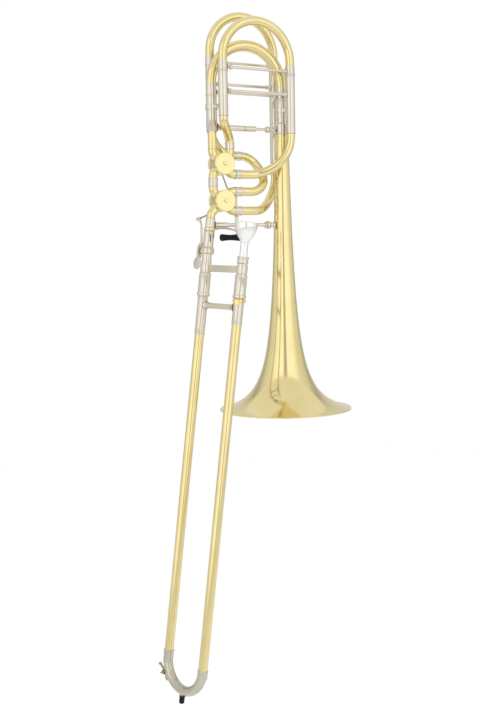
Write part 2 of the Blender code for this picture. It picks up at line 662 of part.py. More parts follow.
def build_tubing(uppers, lowers):
    """The tubes between the valves, the loops' legs, the main slide and the slide receiver."""
    upper = [path[-1] for path in uppers]
    lower = [path[-1] for path in lowers]
    lead_low = upper[1] + UP * FIT
    pipe("main_lead_pipe", [lead_low, Vector((MAIN_LEFT_X, 0, MAIN_LEG_BOTTOM + 0.012))], VALVE_TUBE, BRASS)
    pipe("valve_interconnect", [lower[1] + UP * FIT, upper[2] - UP * FIT], VALVE_TUBE + TUBE_WALL, NICKEL)
    start = upper[0] + UP * (FIT + S_BEND_RISE)
    end = Vector((GB_LEFT_X, GB_Y, GB_LEFT_BOTTOM - FIT - BEND_STUB))
    points = [start - UP * S_BEND_RISE] + double_elbow(start, end, S_BEND_RADIUS, 4)
    pipe("gb_s_bend", points + [end + UP * BEND_STUB], VALVE_TUBE, BRASS)
    gb_arc = leg_bend((GB_RIGHT_X, GB_Y, GB_RIGHT_BOTTOM - FIT), LEFT, upper[3].z, (0, -GB_Y, 0), 7)
    pipe("gb_lower_bend", gb_arc + [upper[3] + RIGHT * FIT], VALVE_TUBE, BRASS)
    f_arc = leg_bend((F_RIGHT_X, F_Y, F_RIGHT_BOTTOM - FIT), LEFT, lower[3].z, (0, -F_Y, 0), 7)
    pipe("f_lower_bend", f_arc + [lower[3] + RIGHT * FIT], VALVE_TUBE, BRASS)
    first = leg_bend((F_LEFT_X, F_Y, F_LEFT_BOTTOM - FIT), RIGHT, F_PASS_Z, (0, 0, 0), 5)
    turn_radius = (F_PASS_Z - lower[0].z) / 2
    second = bend((F_RETURN_X, F_Y, F_PASS_Z), RIGHT, DOWN, turn_radius, math.pi, (0, -F_Y, 0), 9)
    pipe("f_return_bend", first + second + [lower[0] + RIGHT * FIT], VALVE_TUBE, BRASS)
    inverse = SLIDE_MATRIX.inverted()
    top = inverse @ lower[2]
    low = SLIDE_MATRIX @ Vector((0, 0, TENON_TOP + 0.0010))
    high = SLIDE_MATRIX @ Vector((0, 0, top.z - FIT))
    pipe("gooseneck", [high, low], VALVE_TUBE, NICKEL)


def build_fixed_braces():
    sleeve_radius = VALVE_TUBE + MAIN_SLEEVE_GAP + MAIN_SLEEVE_WALL
    height = GB_LEG_TOP - GB_BRACE_DROP
    strut("gb_leg_brace", (GB_LEFT_X + sleeve_radius + FIT, GB_Y, height),
          (GB_RIGHT_X - sleeve_radius - FIT, GB_Y, height), NICKEL, knob=KNOB)
    height = F_LEG_TOP - F_BRACE_DROP
    strut("f_leg_brace", (F_LEFT_X + sleeve_radius + FIT, F_Y, height),
          (F_RIGHT_X - sleeve_radius - FIT, F_Y, height), NICKEL, knob=KNOB)
    height = MAIN_LEG_BOTTOM + MAIN_BRACE_RISE
    main_sleeve = MAIN_SMALL + MAIN_SLEEVE_GAP + MAIN_SLEEVE_WALL
    strut("main_leg_brace", (MAIN_LEFT_X + main_sleeve + FIT, 0, height),
          (-BELL_RING_RADIUS - FIT, 0, height), NICKEL, MAIN_BRACE_ROD, MAIN_BRACE_FLANGE, MAIN_BRACE_KNOB,
          MAIN_BRACE_KNOB_AT)
    height = BELL_BRACE_Z
    axis_x = RECEIVER_X + BELL_BRACE_RISE * math.tan(SLIDE_TILT)
    strut("bell_brace", (axis_x + (VALVE_TUBE + FIT) / math.cos(SLIDE_TILT) + NECK_SEAT, 0, height),
          (-bell_radius(height) - BELL_BRACE_SEAT, 0, height), NICKEL, BELL_BRACE_ROD, BELL_BRACE_FLANGE,
          BELL_BRACE_KNOB, BELL_BRACE_KNOB_AT)
    for side, x, radius, gb_x, f_x in (
            ("left", MAIN_LEFT_X, main_sleeve, GB_LEFT_X, F_LEFT_X),
            ("right", 0.0, MAIN_LARGE + MAIN_SLEEVE_GAP + MAIN_SLEEVE_WALL, GB_RIGHT_X, F_RIGHT_X)):
        build_tie(f"leg_tie_{side}", x, radius, (gb_x, GB_Y), (f_x, F_Y), sleeve_radius)


def build_tie(name, x, radius, front, rear, sleeve_radius):
    """A band round a main leg, with a post to the leg in front of it and a post to the leg behind it."""
    height = MAIN_LEG_TOP - TIE_DROP
    bore = radius + FIT
    half = TIE_HEIGHT / 2
    ring = turned(name, [(bore + TIE_WALL, half), (bore + TIE_WALL, -half), (bore, -half), (bore, half)],
                  NICKEL, True, 24)
    place(ring, (x, 0, height))
    for tag, (leg_x, leg_y) in (("front", front), ("rear", rear)):
        way = Vector((leg_x - x, leg_y, 0))
        reach = way.length - sleeve_radius - FIT
        way.normalize()
        centre = Vector((x, 0, height))
        post = rod(f"{name}_{tag}", [centre + way * (bore + TIE_WALL / 2), centre + way * reach], STRUT, None, 10,
                   collection=CUTTERS)
        join(ring, post)


def lever_point(place_at):
    """A point of the thumb lever's own layer, from its place beside the receiver."""
    return Vector((RECEIVER_X + place_at[0], ARM_Y + ARM_THICK / 2, RECEIVER_Z + place_at[1]))


def build_f_linkage():
    """Thumb lever, its saddle on the slide receiver, and the rod to the lower valve's stop arm."""
    pivot = lever_point(LEVER_PIVOT)
    top = lever_point(LEVER_TOP)
    paddle_at = lever_point(LEVER_PADDLE) + REAR * PADDLE_OFFSET
    route = [top, pivot + Vector((0.0020, 0, 0.0315)), pivot + Vector((0.0030, 0, 0.0155)),
             pivot + Vector((0.0010, 0, 0.0060)), pivot + Vector((-0.0015, 0, -0.0150)),
             pivot + Vector((-0.0055, 0, -0.0230)), paddle_at + Vector((0.0012, 0, 0.0015))]
    inward = REAR * (LEVER_ROD - ARM_THICK / 2 + 0.0002)
    lever = rod("f_thumb_lever", [point - inward for point in route], LEVER_ROD, NICKEL, 8)
    hub = disc("f_lever_hub", pivot, REAR, LEVER_HUB, 0.0060, steps=12)
    end = disc("f_lever_end", top, REAR, ARM_END, ARM_THICK, steps=12)
    paddle = disc("f_lever_paddle", paddle_at, (-1, 0, 0.12), PADDLE_RADIUS, PADDLE_THICK, steps=20)
    bore = disc("f_lever_bore", pivot, REAR, LEVER_PIN + FIT, 0.020, steps=14)
    cut(join(lever, hub, end, paddle), bore)
    build_lever_saddle(pivot)
    pin = Vector((ROTOR_X + F_ARM * DIAGONAL, 0, LOWER_Z - F_ARM * DIAGONAL))
    layer = REAR * (ROD_Y + ARM_THICK / 2 - ARM_Y - ARM_THICK / 2)
    build_link("f_link_rod", top + layer, Vector((pin.x, top.y + layer.y, pin.z)), REAR, REAR)


def build_link(name, start, end, start_axis, end_axis):
    """A thin rod with a flat round eye at each end."""
    link = rod(name, [start, end], LINK_ROD, NICKEL, 8)
    eyes = [disc(f"{name}_eye_{number}", point, axis, ARM_END, ARM_THICK, steps=12)
            for number, (point, axis) in enumerate(((start, start_axis), (end, end_axis)))]
    return join(link, *eyes)


def build_lever_saddle(pivot):
    """Cheek and pin that carry the thumb lever, on a post from the slide receiver."""
    front = pivot - REAR * 0.0053
    saddle = disc("f_lever_saddle", front, REAR, LEVER_HUB, 0.0030, NICKEL, 18, collection=PARTS)
    pin = disc("f_lever_pin", pivot - REAR * 0.0008, REAR, LEVER_PIN, 0.0090, steps=14)
    axis_x = RECEIVER_X + (front.z - RECEIVER_Z) * math.tan(SLIDE_TILT)
    foot = Vector((axis_x, 0, front.z))
    wall = TENON_RADIUS + FIT + RECEIVER_WALL + FIT
    post = rod("f_lever_post", [foot + (front - foot).normalized() * (wall + 0.0003), front], 0.0022, None, 8,
               collection=CUTTERS)
    join(saddle, pin, post)


def build_gb_linkage():
    """Finger trigger on an upright spindle, its bearing tube and stay, its roller and its rod."""
    foot = Vector((TRIGGER_X, TRIGGER_Y, TRIGGER_FOOT))
    knee = Vector((TRIGGER_X, TRIGGER_Y, TRIGGER_TOP))
    crank_end = Vector((TRIGGER_X + CRANK_STEP, CRANK_Y, TRIGGER_TOP))
    corner = foot - REAR * ROLLER_FORWARD
    trigger = rod("gb_trigger", [corner + LEFT * (ROLLER_LENGTH - ROLLER_GAP), corner, foot, knee, crank_end],
                  TRIGGER_SPINDLE, NICKEL, 8)
    join(trigger, disc("gb_crank_end", crank_end, RIGHT, ARM_END, ARM_THICK, steps=12))
    bore = TRIGGER_SPINDLE + FIT
    profile = [(ROLLER_RADIUS, 0), (ROLLER_WAIST, -ROLLER_LENGTH * 0.3), (ROLLER_WAIST, -ROLLER_LENGTH * 0.7),
               (ROLLER_RADIUS, -ROLLER_LENGTH), (bore, -ROLLER_LENGTH), (bore, 0)]
    roller = turned("gb_finger_roller", profile, RUBBER, True, 20)
    place(roller, corner + LEFT * ROLLER_GAP, RIGHT)
    tube = sleeve("gb_trigger_bearing", 0, TRIGGER_SLEEVE_LENGTH, TRIGGER_SLEEVE,
                  TRIGGER_SLEEVE - TRIGGER_SPINDLE - FIT, NICKEL)
    place(tube, (TRIGGER_X, TRIGGER_Y, TRIGGER_SLEEVE_LOW))
    anchor = SLIDE_MATRIX @ Vector((0, 0, RECEIVER_HEIGHT + 0.0040))
    start = Vector((anchor.x + VALVE_TUBE + 0.0018, 0.0035, anchor.z))
    stay_end = Vector((TRIGGER_X - TRIGGER_SLEEVE + 0.0012, TRIGGER_Y, TRIGGER_SLEEVE_LOW + 0.0030))
    middle = start.lerp(stay_end, 0.55) + UP * 0.0030
    stay = rod("gb_trigger_stay", [start, start.lerp(middle, 0.5) + UP * 0.0012, middle,
                                   middle.lerp(stay_end, 0.6) + UP * 0.0007, stay_end], 0.0018, None, 8,
               collection=CUTTERS)
    join(tube, stay)
    arm_pin = Vector((ROTOR_X + GB_ARM * DIAGONAL, ROD_Y + ARM_THICK / 2, UPPER_Z - GB_ARM * DIAGONAL))
    low_end = crank_end + LEFT * (ARM_THICK + CRANK_GAP)
    build_link("gb_link_rod", arm_pin, low_end, REAR, RIGHT)


def slide_frame():
    empty = bpy.data.objects.new("slide_frame", None)
    PARTS.objects.link(empty)
    empty.matrix_world = SLIDE_MATRIX
    return empty


def build_receiver(frame):
    outer = TENON_RADIUS + FIT + RECEIVER_WALL
    bore = TENON_RADIUS + FIT
    turned("slide_receiver",
           [(outer, RECEIVER_HEIGHT), (outer, FIT), (bore, FIT), (bore, RECEIVER_HEIGHT)], NICKEL, True,
           parent=frame)
    turned("slide_lock_nut",
           [(NUT_RADIUS, 0), (NUT_RADIUS, -NUT_HEIGHT), (bore, -NUT_HEIGHT), (bore, 0)], NICKEL, True, 20, frame)


def build_inner_slide(frame):
    """What stays with the player when the outer slide runs out."""
    sleeve("slide_tenon", SLEEVE_BOTTOM, TENON_TOP, TENON_RADIUS, TENON_WALL, NICKEL, frame)
    side = (SLIDE_SPACING, 0, 0)
    counter = INNER_TUBE + FIT
    seat = SLEEVE_BOTTOM + 0.0030
    tip = MP_RECEIVER_TOP - MP_INSERT
    receiver = turned("mouthpiece_receiver",
                      [(MP_COLLAR_RADIUS, MP_RECEIVER_TOP), (MP_COLLAR_RADIUS, MP_COLLAR_BOTTOM),
                       (TENON_RADIUS, MP_COLLAR_BOTTOM), (TENON_RADIUS, SLEEVE_BOTTOM),
                       (counter, SLEEVE_BOTTOM), (counter, seat), (MP_SHANK_TIP + FIT, tip),
                       (MP_SHANK_MOUTH + FIT, MP_RECEIVER_TOP)], NICKEL, True, parent=frame)
    receiver.location = side
    sleeve("inner_tube_left", INNER_TUBE_END, SLEEVE_BOTTOM + 0.0120, INNER_TUBE, TUBE_WALL, NICKEL, frame, 16)
    right = sleeve("inner_tube_right", INNER_TUBE_END, seat - FIT, INNER_TUBE, TUBE_WALL, NICKEL, frame, 16)
    right.location = side
    for name, place_at in (("cork_barrel_left", (0, 0, 0)), ("cork_barrel_right", side)):
        build_barrel(name, frame).location = place_at
    build_inner_brace(frame)


def build_barrel(name, frame):
    """Cork barrel: closed round the upper tube, open below for the outer slide's mouth."""
    bore = BARREL_RADIUS - BARREL_WALL
    neck = TENON_RADIUS + FIT
    return turned(name,
                  [(BARREL_RADIUS, BARREL_TOP), (BARREL_RADIUS, BARREL_RING_TOP), (BARREL_RING, BARREL_RING_TOP),
                   (BARREL_RING, BARREL_BOTTOM), (bore, BARREL_BOTTOM), (bore, SLEEVE_BOTTOM - RUN),
                   (neck, SLEEVE_BOTTOM - RUN), (neck, BARREL_TOP)], NICKEL, True, parent=frame)


def build_inner_brace(frame):
    """The flat grip bar between the two upper tubes, with a clamp ring round each."""
    bore = TENON_RADIUS + FIT
    outer = bore + 0.0010
    height = BRACE_HIGH - BRACE_LOW
    middle = (BRACE_HIGH + BRACE_LOW) / 2
    ring = turned("inner_slide_brace", [(outer, height / 2), (outer, -height / 2), (bore, -height / 2),
                                        (bore, height / 2)], SILVER, True, parent=frame)
    ring.location = (0, 0, middle)
    far = turned("inner_brace_far_ring", [(outer, height / 2), (outer, -height / 2), (bore, -height / 2),
                                          (bore, height / 2)], None, True, parent=frame, collection=CUTTERS)
    far.location = (SLIDE_SPACING, 0, middle)
    bar = box_between("inner_brace_bar", Vector((bore + 0.0005, 0, middle)),
                      Vector((SLIDE_SPACING - bore - 0.0005, 0, middle)), height * 0.94, BRACE_PLATE, None, frame)
    join(ring, bar, far)


def build_outer_slide(frame):
    for name, x in (("outer_tube_left", 0.0), ("outer_tube_right", SLIDE_SPACING)):
        tube = sleeve(name, OUTER_TUBE_END, OUTER_TUBE_TOP, OUTER_TUBE, TUBE_WALL, BRASS, frame, 16)
        tube.location = (x, 0, 0)
    start, end = OUTER_TUBE + FIT, SLIDE_SPACING - OUTER_TUBE - FIT
    strut("outer_slide_brace", (start, 0, OUTER_BRACE_Z), (end, 0, OUTER_BRACE_Z), SILVER, OUTER_BRACE_RADIUS,
          OUTER_BRACE_FLANGE, parent=frame)
    build_bow(frame)
    build_bow_stop(frame)
    build_lock_ring(frame)


def build_bow(frame):
    """The bow, with a socket at each end that the outer tubes enter."""
    half = SLIDE_SPACING / 2
    socket = (OUTER_TUBE + FIT) / math.cos(math.pi / BOW_SIDES) + BOW_WALL
    body = OUTER_TUBE + 0.0002
    arc = bend((0, 0, BOW_CENTRE_Z), DOWN, RIGHT, half, math.pi, steps=12)
    low = Vector((0, 0, BOW_SOCKET_END))
    top = Vector((0, 0, BOW_SOCKET_TOP))
    across = Vector((SLIDE_SPACING, 0, 0))
    points = [top, low] + arc + [low + across, top + across]
    radii = [socket, socket] + [body] * len(arc) + [socket, socket]
    pipe("slide_bow", points, socket, NICKEL, BOW_WALL, radii, BOW_SIDES, frame)


def build_bow_stop(frame):
    """Rubber stop under the bow."""
    top = BOW_CENTRE_Z - SLIDE_SPACING / 2 - OUTER_TUBE - 0.0002 - FIT
    stop = turned("bow_stop", [(0, top), (STOP_RADIUS, top), (STOP_RADIUS, top - STOP_LENGTH + 0.0015),
                               (STOP_RADIUS - 0.0015, top - STOP_LENGTH), (0, top - STOP_LENGTH)], RUBBER,
                  parent=frame)
    stop.location = (SLIDE_SPACING / 2, 0, 0)


def build_lock_ring(frame):
    """Ring with a finger lug that locks the outer slide shut."""
    bore = OUTER_TUBE + FIT
    ring = turned("slide_lock_ring", [(LOCK_RADIUS, LOCK_TOP), (LOCK_RADIUS, LOCK_TOP - LOCK_HEIGHT),
                                      (bore, LOCK_TOP - LOCK_HEIGHT), (bore, LOCK_TOP)], BRASS, True,
                  parent=frame)
    ring.location = (SLIDE_SPACING, 0, 0)
    middle = LOCK_TOP - LOCK_HEIGHT / 2
    lug = box_between("slide_lock_lug", Vector((SLIDE_SPACING + LOCK_RADIUS - 0.0008, 0, middle)),
                      Vector((SLIDE_SPACING + LOCK_RADIUS + 0.0048, 0, middle)), LOCK_HEIGHT * 0.8, 0.0040, None,
                      frame)
    join(ring, lug)


def build_water_key(frame):
    """Lever over the bow's drain hole, with its pad, on a saddle."""
    half = SLIDE_SPACING / 2
    centre = Vector((half, 0, BOW_CENTRE_Z))
    out = Vector((math.cos(KEY_ANGLE), 0, math.sin(KEY_ANGLE)))
    along = Vector((-out.z, 0, out.x))
    surface = half + OUTER_TUBE + 0.0002
    pad_centre = centre + out * (surface + 2 * FIT + 0.0011)
    key = rod("water_key", [pad_centre + out * 0.0016, pad_centre + out * 0.0022 - along * 0.012,
                            pad_centre + out * 0.0030 - along * 0.020, pad_centre + out * 0.0062 - along * 0.030],
              0.0014, NICKEL, 8, frame)
    join(key, disc("water_key_pad", pad_centre, out, KEY_PAD, 0.0022, steps=16, parent=frame))
    return key


def build_mouthpiece(frame):
    """Cup mouthpiece: rim, cup, throat and tapered shank."""
    mouth = MP_RECEIVER_TOP
    rim = mouth + MP_HEIGHT
    profile = [(MP_RIM - 0.0030, rim), (MP_RIM - 0.0008, rim - 0.0008), (MP_RIM, rim - 0.0030),
               (MP_RIM - 0.0012, rim - 0.0060), (MP_RIM - 0.0030, rim - 0.0160),
               (MP_RIM - 0.0075, rim - 0.0260), (0.0080, rim - 0.0310), (0.0066, rim - 0.0360),
               (MP_SHANK_MOUTH, mouth), (MP_SHANK_TIP, mouth - MP_INSERT), (MP_SHANK_TIP - 0.0008, mouth - MP_INSERT),
               (0.0036, rim - 0.0300), (0.0040, rim - 0.0250), (0.0085, rim - 0.0180), (MP_CUP - 0.0012, rim - 0.0080),
               (MP_CUP, rim - 0.0012), (MP_CUP + 0.0014, rim)]
    cup = turned("mouthpiece", profile, SILVER, True, 20, frame)
    cup.location = (SLIDE_SPACING, 0, 0)


def main():
    uppers, lowers = upper_ports(), lower_ports()
    build_bell()
    build_outer_legs()
    build_tuning_slides()
    build_valve("gb", UPPER_Z, uppers, GB_ARM)
    build_valve("f", LOWER_Z, lowers, F_ARM)
    build_tubing(uppers, lowers)
    build_fixed_braces()
    build_f_linkage()
    build_gb_linkage()
    frame = slide_frame()
    build_receiver(frame)
    build_inner_slide(frame)
    build_outer_slide(frame)
    build_water_key(frame)
    build_mouthpiece(frame)


main()
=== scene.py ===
"""Looks of a bass trombone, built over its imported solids.

Every length here is in millimetres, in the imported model's own frame: +Z runs up the bell's axis from the
middle of its rim, +X runs from the valves towards the bell, and -Y is the side of the mouthpiece. The hand
slide leans, so its pieces are shaped along their own axis and then carried to it.
"""
import logging
import math
from dataclasses import dataclass, field
from enum import Enum
from typing import Sequence

import bpy
from mathutils import Matrix, Vector


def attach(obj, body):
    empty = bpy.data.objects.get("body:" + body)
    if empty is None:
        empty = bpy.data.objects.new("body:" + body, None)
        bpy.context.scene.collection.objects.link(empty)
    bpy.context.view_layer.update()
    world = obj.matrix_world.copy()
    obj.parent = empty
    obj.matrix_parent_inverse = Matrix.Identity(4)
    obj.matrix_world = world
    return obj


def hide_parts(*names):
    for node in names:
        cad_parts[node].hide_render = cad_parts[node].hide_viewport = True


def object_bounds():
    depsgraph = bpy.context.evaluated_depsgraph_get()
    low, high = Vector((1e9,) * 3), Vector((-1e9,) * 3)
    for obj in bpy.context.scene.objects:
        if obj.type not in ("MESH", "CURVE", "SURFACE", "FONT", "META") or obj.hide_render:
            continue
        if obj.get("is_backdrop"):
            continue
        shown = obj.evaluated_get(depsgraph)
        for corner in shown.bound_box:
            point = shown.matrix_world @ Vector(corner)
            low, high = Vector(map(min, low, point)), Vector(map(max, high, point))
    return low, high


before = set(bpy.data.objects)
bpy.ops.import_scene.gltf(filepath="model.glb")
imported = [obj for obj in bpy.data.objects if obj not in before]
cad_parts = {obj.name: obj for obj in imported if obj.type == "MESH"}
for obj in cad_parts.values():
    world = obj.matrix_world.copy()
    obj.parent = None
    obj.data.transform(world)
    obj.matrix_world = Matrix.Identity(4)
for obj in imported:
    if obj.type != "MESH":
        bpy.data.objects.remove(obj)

LOG = logging.getLogger("trombone")
MM = 0.001
DIAGONAL = math.sqrt(0.5)
UP, DOWN = Vector((0, 0, 1)), Vector((0, 0, -1))
RIGHT, LEFT = Vector((1, 0, 0)), Vector((-1, 0, 0))
REAR, FRONT = Vector((0, 1, 0)), Vector((0, -1, 0))
BELL_SECTION = "bell_section"

Profile = Sequence[tuple[float, float]]
Path = list[Vector]


def at(x: float, y: float, z: float) -> Vector:
    """A point."""
    return Vector((x, y, z))


def shift(x: float, y: float = 0.0, z: float = 0.0) -> Matrix:
    """The move by a distance, in metres."""
    return Matrix.Translation(at(x, y, z) * MM)


def stand(point: Vector, axis: Vector = UP) -> Matrix:
    """The move, in metres, that stands a piece's Z axis along a direction at a point."""
    return shift(*point) @ Vector(axis).to_track_quat("Z", "Y").to_matrix().to_4x4()


@dataclass(frozen=True)
class Plan:
    """Places and sizes that the assemblies share."""

    valve_x: float = -121.2
    upper_valve: float = 440.0
    lower_valve: float = 376.5
    main_left: float = -138.0
    main_top: float = 555.6
    main_foot: float = 495.3
    gb_left: float = -129.1
    gb_right: float = 2.8
    gb_y: float = -28.0
    gb_top: float = 594.0
    gb_right_foot: float = 493.6
    f_left: float = -122.2
    f_right: float = 5.2
    f_y: float = 35.0
    f_top: float = 614.0
    f_left_foot: float = 505.0
    f_right_foot: float = 427.0
    stay_height: float = 335.0
    slide_x: float = -151.06
    slide_z: float = 295.6
    slide_lean: float = math.radians(7.516)
    slide_twist: float = math.radians(-74.03)
    spacing: float = 92.0
    valve_tube: float = 7.6
    sleeve: float = 8.3
    fit: float = 0.3

    def neck_x(self, height: float) -> float:
        """Where the hand slide's axis passes a height."""
        return self.slide_x + (height - self.slide_z) * math.tan(self.slide_lean)


PLAN = Plan()
SLIDE = (shift(PLAN.slide_x, 0, PLAN.slide_z) @ Matrix.Rotation(PLAN.slide_lean, 4, "Y")
         @ Matrix.Rotation(PLAN.slide_twist, 4, "Z"))


class NodeSheet:
    """A node tree that is filled by short calls."""

    def __init__(self, tree: bpy.types.NodeTree) -> None:
        """Keep the tree."""
        self.tree = tree

    @staticmethod
    def fill(node: bpy.types.Node, values: dict[str | int, object]) -> None:
        """Set a node's inputs, by name or number."""
        for socket, value in values.items():
            node.inputs[socket].default_value = value

    def add(self, kind: str, values: dict[str | int, object] | None = None,
            operation: str | None = None) -> bpy.types.Node:
        """Add a shader node.

        Args:
            kind: Its type, without the words that all types begin with.
            values: Values of its inputs.
            operation: What it works out, for a node that has the choice.

        Returns:
            The node.
        """
        node = self.tree.nodes.new(f"ShaderNode{kind}")
        if operation:
            node.operation = operation
        self.fill(node, values or {})
        return node

    def ramp(self, *stops: tuple[float, Sequence[float]]) -> bpy.types.Node:
        """Add a colour ramp.

        Args:
            stops: Place and colour of each of its stops.

        Returns:
            The node.
        """
        node = self.add("ValToRGB")
        elements = node.color_ramp.elements
        while len(elements) < len(stops):
            elements.new(0.5)
        for element, (position, colour) in zip(elements, stops):
            element.position = position
            element.color = (*colour, 1)
        return node

    def join(self, *links: tuple[bpy.types.Node, str, bpy.types.Node, str | int]) -> None:
        """Link nodes, each link from a node's output to a node's input."""
        for source, output, target, socket in links:
            self.tree.links.new(source.outputs[output], target.inputs[socket])


def new_surface(name: str, values: dict[str | int, object]) -> tuple[
        bpy.types.Material, NodeSheet, bpy.types.Node]:
    """Start a node material.

    Args:
        name: Its name.
        values: Inputs of its shader.

    Returns:
        The material, its node sheet and its shader.
    """
    material = bpy.data.materials.new(name)
    material.use_nodes = True
    shader = material.node_tree.nodes["Principled BSDF"]
    NodeSheet.fill(shader, values)
    return material, NodeSheet(material.node_tree), shader


class Slot(Enum):
    """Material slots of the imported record."""

    BRASS = "lacquered_brass"
    NICKEL = "nickel_silver"
    SILVER = "silver_plate"
    RUBBER = "black_rubber"


@dataclass(frozen=True)
class Metal:
    """A polished metal, with the fine marks of its polishing and small changes of tone."""

    name: str
    slot: Slot
    colour: tuple[float, float, float]
    deep: tuple[float, float, float]
    roughness: float
    coat: float
    marks: float = 0.03
    relief: float = 0.015

    def build(self) -> bpy.types.Material:
        """Make the material.

        Returns:
            The node material, on Object coordinates.
        """
        material, sheet, shader = new_surface(self.name, {
            "Metallic": 1.0, "Coat Weight": self.coat, "Coat Roughness": 0.04})
        where = sheet.add("TexCoord")
        cloud = sheet.add("TexNoise", {"Scale": 22.0, "Detail": 4.0})
        tone = sheet.ramp((0.30, self.deep), (0.62, self.colour))
        stretch = sheet.add("Mapping", {"Scale": (60, 60, 900)})
        fine = sheet.add("TexNoise", {"Scale": 1.0, "Detail": 3.0})
        gloss = sheet.add("MapRange", {
            "To Min": self.roughness - self.marks, "To Max": self.roughness + self.marks})
        bump = sheet.add("Bump", {"Strength": self.relief, "Distance": 0.00004})
        sheet.join(
            (where, "Object", cloud, "Vector"), (cloud, "Fac", tone, "Fac"),
            (tone, "Color", shader, "Base Color"), (where, "Object", stretch, "Vector"),
            (stretch, "Vector", fine, "Vector"), (fine, "Fac", gloss, "Value"),
            (gloss, "Result", shader, "Roughness"), (fine, "Fac", bump, "Height"),
            (bump, "Normal", shader, "Normal"))
        return material


@dataclass(frozen=True)
class Rubber:
    """Moulded black rubber with a fine grain and a worn, slightly paler skin."""

    name: str = "moulded_rubber"
    slot: Slot = Slot.RUBBER
    colour: tuple[float, float, float] = (0.004, 0.004, 0.004)
    worn: tuple[float, float, float] = (0.016, 0.016, 0.015)

    def build(self) -> bpy.types.Material:
        """Make the material.

        Returns:
            The node material, on Object coordinates.
        """
        material, sheet, shader = new_surface(self.name, {"Roughness": 0.42, "Specular IOR Level": 0.18})
        where = sheet.add("TexCoord")
        patch = sheet.add("TexNoise", {"Scale": 160.0})
        tone = sheet.ramp((0.45, self.colour), (0.80, self.worn))
        grain = sheet.add("TexVoronoi", {"Scale": 2600.0})
        bump = sheet.add("Bump", {"Strength": 0.25, "Distance": 0.0001})
        sheet.join(
            (where, "Object", patch, "Vector"), (patch, "Fac", tone, "Fac"),
            (tone, "Color", shader, "Base Color"), (where, "Object", grain, "Vector"),
            (grain, "Distance", bump, "Height"), (bump, "Normal", shader, "Normal"))
        return material


class Finish(Enum):
    """The finishes that the instrument's pieces take."""

    BRASS = Metal("yellow_brass", Slot.BRASS, (0.86, 0.74, 0.38), (0.82, 0.68, 0.32), 0.13, 0.30)
    CAP = Metal("yellow_brass_satin", Slot.BRASS, (0.92, 0.80, 0.42), (0.91, 0.79, 0.41), 0.24, 0.0,
                0.01, 0.0)
    NICKEL = Metal("nickel_silver_polished", Slot.NICKEL, (0.76, 0.71, 0.61), (0.71, 0.65, 0.55), 0.15, 0.12)
    # DULL is darker, handled nickel silver for the slide's bow and its fittings, and painted shade on the
    # water key's screw, which lies in shadow.
    DULL = Metal("nickel_silver_handled_and_shaded", Slot.NICKEL, (0.60, 0.57, 0.47), (0.53, 0.50, 0.40), 0.18, 0.05)
    SILVER = Metal("silver_plate_bright", Slot.SILVER, (0.97, 0.965, 0.955), (0.93, 0.925, 0.91), 0.10, 0.0)
    WORN = Metal("silver_plate_worn", Slot.SILVER, (0.75, 0.71, 0.57), (0.64, 0.60, 0.47), 0.34, 0.0, 0.05)
    # STEEL is dark oiled steel for the screws and the spring, and also the painted shade that stands for the
    # receiver's slot.
    STEEL = Metal("oiled_steel_and_painted_shade", Slot.NICKEL, (0.22, 0.15, 0.10), (0.14, 0.09, 0.06), 0.28, 0.0)
    # ROD is darkened nickel silver for the link rods, and painted shade on the water key's lever and saddle,
    # which lie in shadow.
    ROD = Metal("dull_rod_and_painted_shade", Slot.NICKEL, (0.50, 0.43, 0.26), (0.38, 0.32, 0.18), 0.26, 0.0)
    RUBBER = Rubber()


